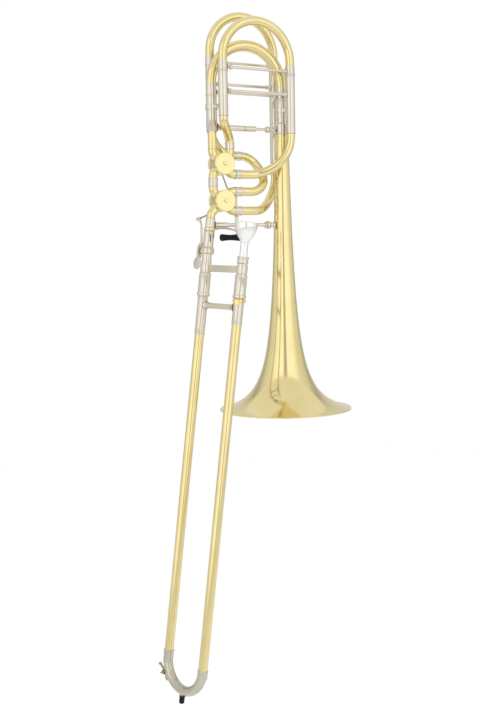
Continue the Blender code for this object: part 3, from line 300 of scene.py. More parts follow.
class Workshop:
    """The bench: it shapes pieces with operators, then dresses them and hangs them on their bodies."""

    def __init__(self) -> None:
        """Make every finish once."""
        self.materials = {finish: finish.value.build() for finish in Finish}
        self.count = 0

    @staticmethod
    def clear() -> None:
        """Go back to object mode with nothing selected."""
        if bpy.context.object and bpy.context.object.mode != "OBJECT":
            bpy.ops.object.mode_set(mode="OBJECT")
        bpy.ops.object.select_all(action="DESELECT")

    def pick(self, *items: bpy.types.Object) -> None:
        """Select some objects alone.

        Args:
            items: The objects, of which the first becomes the active one.
        """
        self.clear()
        for item in items:
            item.select_set(True)
        bpy.context.view_layer.objects.active = items[0]

    def clean(self, item: bpy.types.Object) -> None:
        """Merge a piece's doubled points and turn its faces outwards.

        Args:
            item: The piece.
        """
        self.pick(item)
        bpy.ops.object.mode_set(mode="EDIT")
        bpy.ops.mesh.select_all(action="SELECT")
        bpy.ops.mesh.remove_doubles(threshold=0.00001)
        bpy.ops.mesh.normals_make_consistent(inside=False)
        bpy.ops.object.mode_set(mode="OBJECT")

    def turn(self, name: str, profile: Profile, steps: int, ring: bool = False) -> bpy.types.Object:
        """Turn a profile round Z, as on a lathe.

        Args:
            name: The piece's name.
            profile: Points (radius, height), from the top down the outer side.
            steps: Facets round the axis.
            ring: Whether the profile closes on itself, as a sleeve's does.

        Returns:
            The turned piece, on the Z axis.
        """
        self.clear()
        points = [at(radius, 0, height) * MM for radius, height in profile]
        if ring:
            points.append(points[0])
        bpy.ops.mesh.primitive_plane_add(size=MM)
        item = bpy.context.object
        item.name = name
        bpy.ops.object.mode_set(mode="EDIT")
        bpy.context.tool_settings.mesh_select_mode = (True, False, False)
        bpy.ops.mesh.select_all(action="SELECT")
        bpy.ops.mesh.merge(type="CENTER")
        bpy.ops.transform.translate(value=points[0])
        for start, end in zip(points, points[1:]):
            bpy.ops.mesh.extrude_region_move(TRANSFORM_OT_translate={"value": end - start})
        bpy.ops.mesh.select_all(action="SELECT")
        bpy.ops.mesh.spin(steps=steps, angle=math.tau, center=(0, 0, 0), axis=(0, 0, 1))
        self.clean(item)
        return item

    def tube(self, name: str, path: Path, radii: float | Sequence[float], wall: float = 0.5,
             sides: int = 32) -> bpy.types.Object:
        """Draw a round tube along a path.

        Args:
            name: The piece's name.
            path: Points of its centre line.
            radii: Outer radius, one for the whole tube or one for each point.
            wall: Thickness of the wall, or 0 for a solid rod.
            sides: Facets round the tube.

        Returns:
            The tube as a closed mesh.
        """
        self.clear()
        bpy.ops.curve.primitive_nurbs_path_add()
        item = bpy.context.object
        item.name = name
        line = item.data
        line.splines.clear()
        spline = line.splines.new("POLY")
        spline.points.add(len(path) - 1)
        sizes = [radii] * len(path) if isinstance(radii, (int, float)) else radii
        for point, place, size in zip(spline.points, path, sizes):
            point.co = (*(place * MM), 1)
            point.radius = size
        line.dimensions = "3D"
        line.bevel_depth = MM
        line.bevel_resolution = (sides - 4) // 2
        line.use_fill_caps = not wall
        bpy.ops.object.convert(target="MESH")
        item = bpy.context.object
        if wall:
            bpy.ops.object.modifier_add(type="SOLIDIFY")
            item.modifiers[0].thickness = wall * MM
            item.modifiers[0].offset = -1
            bpy.ops.object.modifier_apply(modifier=item.modifiers[0].name)
        else:
            self.clean(item)
        return item

    def block(self, name: str, size: Sequence[float], soft: float) -> bpy.types.Object:
        """Make a block with rounded edges.

        Args:
            name: The piece's name.
            size: Its length along X, Y and Z.
            soft: Radius of its edges.

        Returns:
            The block, centred on the origin.
        """
        self.clear()
        bpy.ops.mesh.primitive_cube_add(size=1, scale=Vector(size) * MM)
        item = bpy.context.object
        item.name = name
        bpy.ops.object.transform_apply(location=False, rotation=False, scale=True)
        bpy.ops.object.mode_set(mode="EDIT")
        bpy.ops.mesh.select_all(action="SELECT")
        bpy.ops.mesh.bevel(offset=soft * MM, segments=3, affect="EDGES")
        bpy.ops.object.mode_set(mode="OBJECT")
        return item

    def knurl(self, item: bpy.types.Object, depth: float, low: float, high: float, radius: float) -> None:
        """Sink every side face between two heights, which leaves a row of ribs.

        Args:
            item: A turned piece on the Z axis.
            depth: How far the faces sink.
            low: Lowest height of the ribbed band.
            high: Highest height of the ribbed band.
            radius: Least distance from the axis of the faces to sink.
        """
        self.pick(item)
        bpy.context.tool_settings.mesh_select_mode = (False, False, True)
        bpy.ops.object.mode_set(mode="EDIT")
        bpy.ops.mesh.select_all(action="DESELECT")
        bpy.ops.object.mode_set(mode="OBJECT")
        for face in item.data.polygons:
            centre = face.center / MM
            beyond = math.hypot(centre.x, centre.y) > radius
            face.select = low < centre.z < high and beyond and abs(face.normal.z) < 0.2
        bpy.ops.object.mode_set(mode="EDIT")
        bpy.ops.mesh.inset(thickness=0.12 * MM, depth=-depth * MM, use_individual=True)
        bpy.ops.object.mode_set(mode="OBJECT")

    def carry(self, item: bpy.types.Object, matrix: Matrix) -> bpy.types.Object:
        """Move a piece and put its new place into its mesh.

        Args:
            item: The piece.
            matrix: The move, in metres.

        Returns:
            The same piece.
        """
        self.pick(item)
        item.matrix_world = matrix @ item.matrix_world
        bpy.ops.object.transform_apply(location=True, rotation=True, scale=True)
        return item

    def fuse(self, *items: bpy.types.Object) -> bpy.types.Object:
        """Join pieces into one.

        Args:
            items: The pieces.

        Returns:
            The first piece, which now holds them all.
        """
        self.pick(*items)
        bpy.ops.object.join()
        return items[0]

    def screw(self, name: str, profile: Profile, steps: int, slot: Sequence[float],
              height: float) -> bpy.types.Object:
        """Turn a screw's head and saw a driver's slot across it.

        Args:
            name: The screw's name.
            profile: The head's profile.
            steps: Facets round the axis.
            slot: Length, width and height of the block that is cut away.
            height: Where the middle of that block lies.

        Returns:
            The screw, on the Z axis.
        """
        item = self.turn(name, profile, steps)
        tool = self.carry(self.block("slit", slot, 0.05), stand(at(0, 0, height)))
        self.pick(item)
        bpy.ops.object.modifier_add(type="BOOLEAN")
        step = item.modifiers[-1]
        step.operation = "DIFFERENCE"
        step.solver = "EXACT"
        step.object = tool
        bpy.ops.object.modifier_apply(modifier=step.name)
        bpy.data.objects.remove(tool, do_unlink=True)
        return item

    def dress(self, item: bpy.types.Object, finish: Finish, body: str, *nodes: str,
              angle: float = 38.0) -> bpy.types.Object:
        """Finish a piece: smooth it, give it its metal, and hang it on its body.

        Args:
            item: The shaped piece, with its place in its mesh.
            finish: What it is made of.
            body: The body that it moves with.
            nodes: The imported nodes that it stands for.
            angle: Edges sharper than this many degrees stay sharp.

        Returns:
            The same piece.
        """
        self.pick(item)
        bpy.ops.object.shade_smooth_by_angle(angle=math.radians(angle))
        item.data.materials.clear()
        item.data.materials.append(self.materials[finish])
        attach(item, body)
        if nodes:
            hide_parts(*nodes)
        self.count += 1
        LOG.info("%s: %s on %s, %d faces", item.name, finish.name.lower(), body, len(item.data.polygons))
        return item

    def piece(self, name: str, profile: Profile, place: Matrix, finish: Finish, body: str, *nodes: str,
              steps: int = 40, ring: bool = True, angle: float = 38.0) -> bpy.types.Object:
        """Turn a piece, carry it to its place and dress it.

        Args:
            name: The piece's name.
            profile: Its profile.
            place: The move to its place, in metres.
            finish: What it is made of.
            body: The body that it moves with.
            nodes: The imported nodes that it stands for.
            steps: Facets round its axis.
            ring: Whether the profile closes on itself.
            angle: Edges sharper than this many degrees stay sharp.

        Returns:
            The piece.
        """
        item = self.carry(self.turn(name, profile, steps, ring), place)
        return self.dress(item, finish, body, *nodes, angle=angle)

    def redress(self, node: str, finish: Finish) -> None:
        """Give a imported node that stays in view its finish.

        Args:
            node: The node's name.
            finish: What it is made of.
        """
        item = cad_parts[node]
        item.data.materials.clear()
        item.data.materials.append(self.materials[finish])


def bend(start: Vector, heading: Vector, toward: Vector, radius: float, turn: float,
         drift: Vector = Vector((0, 0, 0)), steps: int = 24) -> Path:
    """Points round a bend.

    Args:
        start: Where the bend begins.
        heading: The direction that it leaves in.
        toward: The direction that it curls to.
        radius: Radius of the centre line.
        turn: Angle of the bend, in radians.
        drift: How far the bend drifts sideways from end to end.
        steps: Number of pieces.

    Returns:
        The points, both ends included.
    """
    full = 1 - math.cos(turn)
    points = []
    for step in range(steps + 1):
        angle = turn * step / steps
        rise = 1 - math.cos(angle)
        share = rise / full
        lean = share * share * (3 - 2 * share)
        points.append(start + radius * (math.sin(angle) * heading + rise * toward) + lean * drift)
    return points


def smooth_line(knots: Sequence[Vector], steps: int = 8) -> Path:
    """Run a smooth line through knots.

    Args:
        knots: Points that it passes through.
        steps: Pieces between two knots.

    Returns:
        The line's points.
    """
    ends = [2 * knots[0] - knots[1], *knots, 2 * knots[-1] - knots[-2]]
    points = []
    for a, b, c, d in zip(ends, ends[1:], ends[2:], ends[3:]):
        for step in range(steps):
            t = step / steps
            points.append(0.5 * ((2 * b) + (c - a) * t + (2 * a - 5 * b + 4 * c - d) * t * t
                                 + (3 * b - a - 3 * c + d) * t ** 3))
    return points + [Vector(knots[-1])]


def sleeve(low: float, high: float, radius: float, wall: float, top_bead: float = 0.0,
           low_bead: float = 0.0, bead: float = 2.2) -> Profile:
    """Profile of a sleeve with a rounded bead at either end.

    Args:
        low: Height of its lower end.
        high: Height of its upper end.
        radius: Outer radius between the beads.
        wall: Thickness of the wall.
        top_bead: How far the upper bead stands out, or 0 for none.
        low_bead: How far the lower bead stands out, or 0 for none.
        bead: Height of a bead.

    Returns:
        The closed profile.
    """
    points = []
    for end, out, way in ((high, top_bead, -1), (low, low_bead, 1)):
        steps = [(radius - 0.25, end), (radius, end + way * 0.25)] if not out else [
            (radius + out * 0.5, end), (radius + out, end + way * bead * 0.25),
            (radius + out, end + way * bead * 0.75), (radius + out * 0.5, end + way * bead),
            (radius, end + way * bead * 1.05)]
        points += steps if way < 0 else steps[::-1]
    return points + [(radius - wall, low), (radius - wall, high)]


def disc(radius: float, half: float, edge: float, drop: float, bore: float = 0.0) -> Profile:
    """Profile of a disc or a pin with chamfered edges.

    Args:
        radius: Its radius.
        half: Half of its thickness.
        edge: How far a chamfer reaches in.
        drop: How far a chamfer reaches down.
        bore: Radius of the hole through it.

    Returns:
        The profile, from its upper face to its lower one.
    """
    return [(bore, half), (radius - edge, half), (radius, half - drop), (radius, drop - half),
            (radius - edge, -half), (bore, -half)]


EYE = disc(3.4, 1.25, 0.4, 0.35)


@dataclass
class Assembly:
    """A sub-assembly, with the bench that it is made on."""

    shop: Workshop


@dataclass
class Brace(Assembly):
    """A turned brace between two tubes."""

    name: str
    node: str
    body: str
    start: Vector
    end: Vector
    rod: float
    flange: float
    knobs: tuple[tuple[float, float, float], ...]
    longest_bead: float = 6.0

    def profile(self, length: float) -> Profile:
        """The brace's outline from its far end down to its start.

        Args:
            length: Distance between its ends.

        Returns:
            The open profile, from axis to axis.
        """
        rod, flange = self.rod, self.flange
        foot = [(0.0, 0.0), (flange * 0.9, 0.0), (flange, 0.35), (flange, 0.9), (flange * 0.72, 1.5),
                (rod * 1.25, 2.4), (rod, 3.6)]
        points = list(foot)
        for centre, radius, half in self.knobs:
            if half > self.longest_bead:
                points += [(rod, centre - half), (radius - 0.5, centre - half), (radius, centre - half + 0.5),
                           (radius, centre + half - 0.5), (radius - 0.5, centre + half), (rod, centre + half)]
                continue
            for share in (-1.0, -0.86, -0.6, -0.25, 0.25, 0.6, 0.86, 1.0):
                swell = rod + (radius - rod) * math.sqrt(max(0.0, 1 - share ** 4))
                points.append((swell, centre + half * share))
        points += [(radius, length - height) for radius, height in reversed(foot)]
        return points[::-1]

    def build(self) -> None:
        """Turn the brace and set it between its tubes."""
        way = self.end - self.start
        self.shop.piece(self.name, self.profile(way.length), stand(self.start, way), Finish.NICKEL, self.body,
                        self.node, steps=32, ring=False)


@dataclass
class Bell(Assembly):
    """The bell, one spun sheet from its throat to its rolled rim."""

    radius: float = 120.65
    top: float = 495.0
    wall: float = 0.6
    flare_scale: float = 22.1
    flare_power: float = 0.72
    flare_foot: float = 1.2
    rim: float = 1.1
    rings: int = 72

    def radius_at(self, height: float) -> float:
        """Outer radius of the flare at a height."""
        return self.radius * (1 + (height - self.flare_foot) / self.flare_scale) ** -self.flare_power

    def build(self) -> None:
        """Turn the bell with its rolled rim."""
        middle = self.radius - self.rim
        outer, inner = [], []
        for ring in range(self.rings, -1, -1):
            rise = (self.top - self.flare_foot) * (ring / self.rings) ** 2.2
            height = self.flare_foot + rise
            radius = self.radius_at(height)
            slope = -self.flare_power * radius / (self.flare_scale + rise)
            length = math.hypot(1, slope)
            outer.append((radius, height))
            inner.append((radius - self.wall / length, height + self.wall * slope / length))
        outer = [point for point in outer if point[0] < middle - 0.2]
        inner = [point for point in inner if point[0] < middle - self.rim - 0.2]
        inner[0] = (inner[0][0], self.top)
        angles = [math.radians(angle) for angle in range(100, -181, -20)]
        rim = [(middle + self.rim * math.cos(angle), self.rim * (1 + math.sin(angle))) for angle in angles]
        bell = self.shop.turn("bell", outer + rim + inner[::-1], 144, True)
        self.shop.dress(bell, Finish.BRASS, BELL_SECTION, "bell_flare", angle=50)


@dataclass
class TuningSlide(Assembly):
    """One tuning slide: its bow, the ferrules at its feet, its inner legs, and its brace."""

    prefix: str
    left: float
    right: float
    y: float
    leg_top: float
    centre: float
    insert: float
    small: float
    large: float
    ferrule_top: float
    steps: int = 44

    def build(self) -> None:
        """Bend the bow, turn its ferrules and legs, and brace it."""
        shop, name, body = self.shop, f"{self.prefix}_slide", f"{self.prefix}_tuning_slide"
        span, foot = self.right - self.left, self.leg_top + 2.5
        arc = bend(at(self.left, self.y, self.centre), UP, RIGHT, span / 2, math.pi, steps=self.steps)
        sizes = [self.small + (self.large - self.small) * step / self.steps for step in range(self.steps + 1)]
        bow = shop.tube(f"{name}_bow", [at(self.left, self.y, foot), *arc, at(self.right, self.y, foot)],
                        [self.small, *sizes, self.large], sides=40)
        shop.dress(bow, Finish.BRASS, body, f"{name}_crook")
        for side, x, size in (("left", self.left, self.small), ("right", self.right, self.large)):
            place = stand(at(x, self.y, 0))
            ferrule = sleeve(self.leg_top + 0.3, self.ferrule_top, size + 0.75, 0.7, 0.0, 0.65)
            shop.piece(f"{name}_ferrule_{side}", ferrule, place, Finish.NICKEL, body)
            leg = sleeve(self.leg_top - self.insert, foot - 0.05, size - 0.02, 0.48)
            shop.piece(f"{name}_leg_{side}", leg, place, Finish.NICKEL, body)
        height = self.leg_top + 6.7
        start = at(self.left + self.small + 0.75, self.y, height)
        end = at(self.right - self.large - 0.75, self.y, height)
        knobs = (7.5, 4.1, 2.6), (end.x - start.x - 6.0, 3.2, 1.6)
        Brace(shop, f"{name}_brace", f"{name}_brace", body, start, end, 2.3, 5.2, knobs).build()


@dataclass
class OuterLegs(Assembly):
    """The fixed legs that the tuning slides run in, their ties and their braces."""

    main_radius: float = 9.3
    bell_radius: float = 11.1
    tie_height: float = 536.6
    legs: tuple[tuple[str, float, float, float, float], ...] = (
        ("gb_outer_leg_left", PLAN.gb_left, PLAN.gb_y, 518.5, PLAN.gb_top),
        ("gb_outer_leg_right", PLAN.gb_right, PLAN.gb_y, PLAN.gb_right_foot, PLAN.gb_top),
        ("f_outer_leg_left", PLAN.f_left, PLAN.f_y, PLAN.f_left_foot, PLAN.f_top),
        ("f_outer_leg_right", PLAN.f_right, PLAN.f_y, PLAN.f_right_foot, PLAN.f_top))

    def build(self) -> None:
        """Turn the legs, then fit what holds them together."""
        self.build_main_legs()
        for node, x, y, low, high in self.legs:
            profile = sleeve(low, high, PLAN.sleeve, 0.4, 0.55, 0.30, 2.0)
            self.shop.piece(f"{node}_sleeve", profile, stand(at(x, y, 0)), Finish.NICKEL, BELL_SECTION, node,
                            steps=44)
        self.build_big_leg()
        self.build_tie("left", PLAN.main_left, self.main_radius, PLAN.gb_left, PLAN.f_left)
        self.build_tie("right", 0.0, self.bell_radius, PLAN.gb_right, PLAN.f_right)
        for brace in self.braces():
            brace.build()

    def build_main_legs(self) -> None:
        """Turn the main slide's left leg, a sleeve with a thicker ferrule at its foot."""
        radius, high, low = self.main_radius, PLAN.main_top, PLAN.main_foot
        profile = [
            (radius + 0.3, high), (radius + 0.6, high - 0.5), (radius + 0.6, high - 1.5),
            (radius + 0.3, high - 2), (radius, high - 2.1), (radius, 515.4), (radius + 0.5, 514.8),
            (radius + 0.5, 513.2), (radius + 0.3, 512.8), (radius + 0.3, low + 0.4), (radius, low),
            (radius - 0.4, low), (radius - 0.4, high)]
        self.shop.piece("main_outer_leg_left_sleeve", profile, stand(at(PLAN.main_left, 0, 0)), Finish.NICKEL,
                        BELL_SECTION, "main_outer_leg_left", steps=44)

    def build_big_leg(self) -> None:
        """Turn the main slide's right leg, which widens to hold the bell's throat."""
        big = self.shop.turn("bell_leg_sleeve", [
            (11.4, 555.6), (11.7, 555.1), (11.7, 554.1), (11.4, 553.6), (11.1, 553.5), (11.1, 514.8),
            (12.2, 513.9), (13.0, 512.9), (13.0, 497.6), (13.3, 497.3), (13.3, 495.9), (13.0, 495.3),
            (10.7, 495.3), (10.7, 555.6)], 48, True)
        self.shop.dress(big, Finish.NICKEL, BELL_SECTION, "main_outer_leg_right")

    def braces(self) -> list[Brace]:
        """The fixed braces.

        Returns:
            One brace for each pair of legs, and the one from the slide receiver to the bell.
        """
        edge = PLAN.sleeve + PLAN.fit
        bell = Bell(self.shop).radius_at(PLAN.stay_height)
        rows = (
            ("gb_legs_brace", "gb_leg_brace", PLAN.gb_left + edge, PLAN.gb_right - edge, PLAN.gb_y, 561,
             2.6, 5.4, ((6.2, 4.0, 1.9), (108.5, 3.6, 1.7))),
            ("f_legs_brace", "f_leg_brace", PLAN.f_left + edge, PLAN.f_right - edge, PLAN.f_y, 583,
             2.6, 5.4, ((6.2, 4.0, 1.9), (104.0, 3.6, 1.7))),
            ("main_legs_brace", "main_leg_brace", PLAN.main_left + 9.6, -13.3, 0, 502.8, 2.3, 7.0,
             ((28.5, 4.9, 24.5), (64.8, 4.7, 11.2), (99.5, 5.6, 3.8))),
            ("bell_stay", "bell_brace", PLAN.neck_x(PLAN.stay_height) + 9.0, -bell - 1.2, 0, PLAN.stay_height,
             3.2, 6.5, ((14.0, 4.5, 13.0), (101.0, 5.6, 1.3), (106.0, 7.2, 3.2), (111.0, 5.6, 1.3))))
        return [Brace(self.shop, name, node, BELL_SECTION, at(start, y, z), at(end, y, z), rod, flange, knobs)
                for name, node, start, end, y, z, rod, flange, knobs in rows]

    def build_tie(self, side: str, x: float, radius: float, front_x: float, rear_x: float) -> None:
        """Band one main leg and post it to the legs in front of it and behind it.

        Args:
            side: Which of the two ties it is.
            x: Where the main leg stands.
            radius: The main leg's outer radius.
            front_x: Where the leg in front stands.
            rear_x: Where the leg behind stands.
        """
        shop = self.shop
        ring = sleeve(-4.5, 4.5, radius + 1.3, 1.0, 0.35, 0.35, 1.4)
        band = shop.turn(f"leg_tie_{side}_band", ring, 40, True)
        shop.carry(band, stand(at(x, 0, self.tie_height)))
        posts = []
        for way in (at(front_x - x, PLAN.gb_y, 0), at(rear_x - x, PLAN.f_y, 0)):
            reach = way.length - PLAN.sleeve - PLAN.fit
            low = radius + 0.7
            post = shop.turn("post", [
                (0, reach), (4.6, reach), (4.9, reach - 0.5), (4.4, reach - 1.3), (2.7, reach - 2.8),
                (2.6, low + 2.5), (4.0, low + 0.8), (4.0, low), (0, low)], 28)
            posts.append(shop.carry(post, stand(at(x, 0, self.tie_height), way)))
        shop.dress(shop.fuse(band, *posts), Finish.NICKEL, BELL_SECTION, f"leg_tie_{side}")


@dataclass
class RotaryValve(Assembly):
    """One rotary valve: casing, knuckles, cap, rear plate, bumpers and the screw on its spindle."""

    prefix: str
    centre: float
    ports: tuple[tuple[int, Vector, float], ...] = ()
    casing: float = 18.75
    half: float = 12.5
    reach: float = 16.8
    bumper_circle: float = 14.5
    ends: list[Vector] = field(default_factory=list)

    @property
    def middle(self) -> Vector:
        """The middle of the casing."""
        return at(PLAN.valve_x, 0, self.centre)

    @property
    def bend_radius(self) -> float:
        """Radius of a knuckle's centre line."""
        return (self.reach - self.casing * DIAGONAL) / (1 - DIAGONAL)

    def knuckle(self, quarter: int, heading: Vector, straight: float) -> Path:
        """Centre line of one knuckle, from inside the casing to its square end.

        Args:
            quarter: Which port, counted from the upper right.
            heading: The way that its tube leaves.
            straight: Straight run before the bend.

        Returns:
            The points.
        """
        angle = math.radians(45 + 90 * quarter)
        port = at(math.cos(angle), 0, math.sin(angle))
        toward = (heading - port * port.dot(heading)).normalized()
        start = self.middle + port * (self.casing + straight)
        arc = bend(start, port, toward, self.bend_radius, port.angle(heading), steps=12)
        return [self.middle + port * 16.0] + arc + [arc[-1] + heading * 3.0]

    def build(self) -> None:
        """Turn and bend every piece of the valve."""
        edge = self.half
        self.shop.piece(f"{self.prefix}_casing_barrel", [
            (17.9, edge), (18.75, edge - 0.6), (18.75, edge - 2.6), (18.35, edge - 3.0), (18.35, 3.0 - edge),
            (18.75, 2.6 - edge), (18.75, 0.6 - edge), (17.9, -edge), (17.0, -edge), (17.0, edge)],
            stand(self.middle, REAR), Finish.BRASS, BELL_SECTION, f"{self.prefix}_rotor_casing", steps=72)
        for number, port in enumerate(self.ports):
            path = self.knuckle(*port)
            self.ends.append(path[-1])
            tube = self.shop.tube(f"{self.prefix}_knuckle_{number}", path, PLAN.valve_tube)
            self.shop.dress(tube, Finish.BRASS, BELL_SECTION)
        self.build_cap()
        self.build_back()

    def build_cap(self) -> None:
        """Turn the screwed front cap: a flat face, a rounded edge with fine ribs, and a small boss."""
        cap = self.shop.turn(f"{self.prefix}_cap", [
            (0, 5.4), (1.0, 5.4), (2.8, 5.4), (3.2, 5.2), (3.4, 4.8), (3.4, 2.4), (4.2, 2.4), (4.4, 2.95),
            (16.2, 2.95), (16.6, 2.95), (17.3, 3.2), (18.0, 3.1), (18.5, 2.7), (18.75, 2.1), (18.75, 0.5),
            (18.4, 0.0), (0, 0.0)], 96)
        self.shop.knurl(cap, 0.12, 0.6, 2.0, 18.4)
        self.shop.carry(cap, stand(self.middle + FRONT * (self.half + 0.3), FRONT))
        self.shop.dress(cap, Finish.CAP, BELL_SECTION, f"{self.prefix}_rotor_cap", angle=30)

    def build_back(self) -> None:
        """Turn the rear bearing plate with its bumpers, and the screw that ends the spindle."""
        shop, prefix, middle = self.shop, self.prefix, self.middle
        plate = [(18.2, 3.0), (18.75, 2.4), (18.75, 0.6), (18.2, 0.0), (3.3, 0.0), (3.3, 3.0), (6.8, 3.0),
                 (7.3, 2.6), (16.2, 2.6), (16.7, 3.0)]
        shop.piece(f"{prefix}_bearing_plate", plate, stand(middle + REAR * (self.half + 0.3), REAR),
                   Finish.BRASS, BELL_SECTION, f"{prefix}_back_plate", steps=72, angle=30)
        bumper = [(0, 4.0), (1.8, 4.0), (2.2, 3.5), (2.2, 0.2), (2.0, 0.0), (0, 0.0)]
        spread = math.asin((3.4 + 2.2 + 0.6) / self.bumper_circle)
        for number, angle in enumerate((math.radians(135) + spread, math.radians(45) - spread)):
            spot = middle + self.bumper_circle * at(math.cos(angle), 0, math.sin(angle))
            shop.piece(f"{prefix}_bumper_{number}", bumper, stand(spot + REAR * (self.half + 2.9), REAR),
                       Finish.RUBBER, BELL_SECTION, steps=24, ring=False)
        head = [(0, 1.5), (2.0, 1.5), (2.7, 1.1), (2.9, 0.4), (2.9, 0), (0, 0)]
        screw = shop.screw(f"{prefix}_spindle_screw", head, 28, (7, 0.6, 1.4), 1.5)
        shop.carry(screw, stand(middle + REAR * (self.half + 6.85), REAR))
        shop.dress(screw, Finish.STEEL, f"{prefix}_valve")


@dataclass
class ValveTubing(Assembly):
    """The tubes between the valves, the legs and the slide receiver, and their ferrules."""

    upper: RotaryValve
    lower: RotaryValve
    cross_height: float = 459.0

    def tube(self, name: str, path: Path, *nodes: str) -> None:
        """Draw and dress one tube."""
        self.shop.dress(self.shop.tube(name, path, PLAN.valve_tube), Finish.BRASS, BELL_SECTION, *nodes)

    def ferrule(self, name: str, start: Vector, end: Vector, *nodes: str, bead: float = 0.35) -> None:
        """Slip a beaded nickel ferrule over a straight tube.

        Args:
            name: The ferrule's name.
            start: One end of its axis.
            end: The other end of its axis.
            nodes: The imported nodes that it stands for.
            bead: How far its end beads stand out.
        """
        profile = sleeve(0, (end - start).length, PLAN.valve_tube + 0.65, 0.6, bead, bead, 1.3)
        self.shop.piece(name, profile, stand(start, end - start), Finish.NICKEL, BELL_SECTION, *nodes)

    @staticmethod
    def leg_bend(top: Vector, toward: Vector, low: float, drift: Vector) -> Path:
        """A quarter bend from a leg's foot to the level of a port.

        Args:
            top: Foot of the leg.
            toward: The way that the bend turns.
            low: Height of the port.
            drift: Sideways drift to the port.

        Returns:
            The points, with a short straight run first.
        """
        start = top + DOWN * 2
        return [top] + bend(start, DOWN, toward, start.z - low, math.pi / 2, drift, 26)

    def build(self) -> None:
        """Lay every tube in turn."""
        up, low, fit, cross = self.upper.ends, self.lower.ends, PLAN.fit, self.cross_height
        self.tube("lead_pipe", [up[1] + UP * fit, at(PLAN.main_left, 0, 507.3)], "main_lead_pipe")
        self.tube("interconnect_core", [low[1] + UP * fit, up[2] + DOWN * fit])
        middle = at(PLAN.main_left, 0, (low[1].z + up[2].z) / 2)
        self.ferrule("interconnect_sleeve", middle + DOWN * 7.4, middle + UP * 7.4, "valve_interconnect",
                     bead=0.5)
        self.build_s_bend(up[0])
        foot = at(PLAN.gb_right, PLAN.gb_y, PLAN.gb_right_foot - fit)
        arc = self.leg_bend(foot, LEFT, up[3].z, at(0, -PLAN.gb_y, 0))
        self.tube("gb_bend", arc + [up[3] + RIGHT * fit], "gb_lower_bend")
        self.ferrule("gb_port_ferrule", at(-96.0, 0, up[3].z), at(-84.8, 0, up[3].z))
        foot = at(PLAN.f_right, PLAN.f_y, PLAN.f_right_foot - fit)
        arc = self.leg_bend(foot, LEFT, low[3].z, at(0, -PLAN.f_y, 0))
        self.tube("f_bend", arc + [low[3] + RIGHT * fit], "f_lower_bend")
        self.ferrule("f_port_ferrule", at(-98.0, 0, low[3].z), at(-84.5, 0, low[3].z))
        foot = at(PLAN.f_left, PLAN.f_y, PLAN.f_left_foot - fit)
        first = self.leg_bend(foot, RIGHT, cross, at(0, 0, 0))
        second = bend(at(-64.5, PLAN.f_y, cross), RIGHT, DOWN, (cross - low[0].z) / 2, math.pi,
                      at(0, -PLAN.f_y, 0), 44)
        self.tube("f_return", first + second + [low[0] + RIGHT * fit], "f_return_bend")
        self.ferrule("f_cross_ferrule", at(-78.5, PLAN.f_y, cross), at(-66.5, PLAN.f_y, cross))
        self.ferrule("f_return_ferrule", at(-97.0, 0, low[0].z), at(-83.5, 0, low[0].z))
        self.build_gooseneck(low[2])

    def build_s_bend(self, port: Vector) -> None:
        """The offset tube from the upper valve's port up to the front left leg.

        Args:
            port: The end of the port's knuckle.
        """
        start, end, radius = port + UP * (PLAN.fit + 12), at(PLAN.gb_left, PLAN.gb_y, 516.2), 13.0
        side = at(end.x - start.x, end.y - start.y, 0)
        across, rise = side.length - 2 * radius, end.z - start.z
        straight = math.sqrt(across * across + rise * rise - 4 * radius * radius)
        turn = math.atan2(across, rise) + math.atan2(2 * radius, straight)
        side.normalize()
        low = bend(start, UP, side, radius, turn, steps=14)
        high = bend(end, DOWN, -side, radius, turn, steps=14)
        self.tube("gb_offset", [port + UP * PLAN.fit] + low + high[::-1] + [end + UP * 2], "gb_s_bend")
        self.ferrule("gb_offset_ferrule", at(port.x, 0, 466.6), at(port.x, 0, 477.0), bead=0.3)

    def build_gooseneck(self, port: Vector) -> None:
        """The straight neck from the lower valve down to the slide receiver, with its ferrule and ring.

        Args:
            port: The end of the port's knuckle.
        """
        piece, top = self.shop.piece, (SLIDE.inverted() @ (port * MM)).z / MM
        piece("gooseneck_tube", sleeve(21, top - 0.3, 7.6, 0.5), SLIDE, Finish.NICKEL, BELL_SECTION,
              "gooseneck", steps=36)
        piece("gooseneck_ferrule", sleeve(34.8, min(55.7, top - 0.4), 8.25, 0.6, 0.3, 0.3, 1.4), SLIDE,
              Finish.NICKEL, BELL_SECTION)
        piece("receiver_ring", [(8.4, 34.7), (9.3, 34.2), (9.8, 33.0), (9.8, 30.6), (9.4, 29.2), (8.4, 28.6),
                                (7.65, 28.6), (7.65, 34.7)], SLIDE, Finish.BRASS, BELL_SECTION)


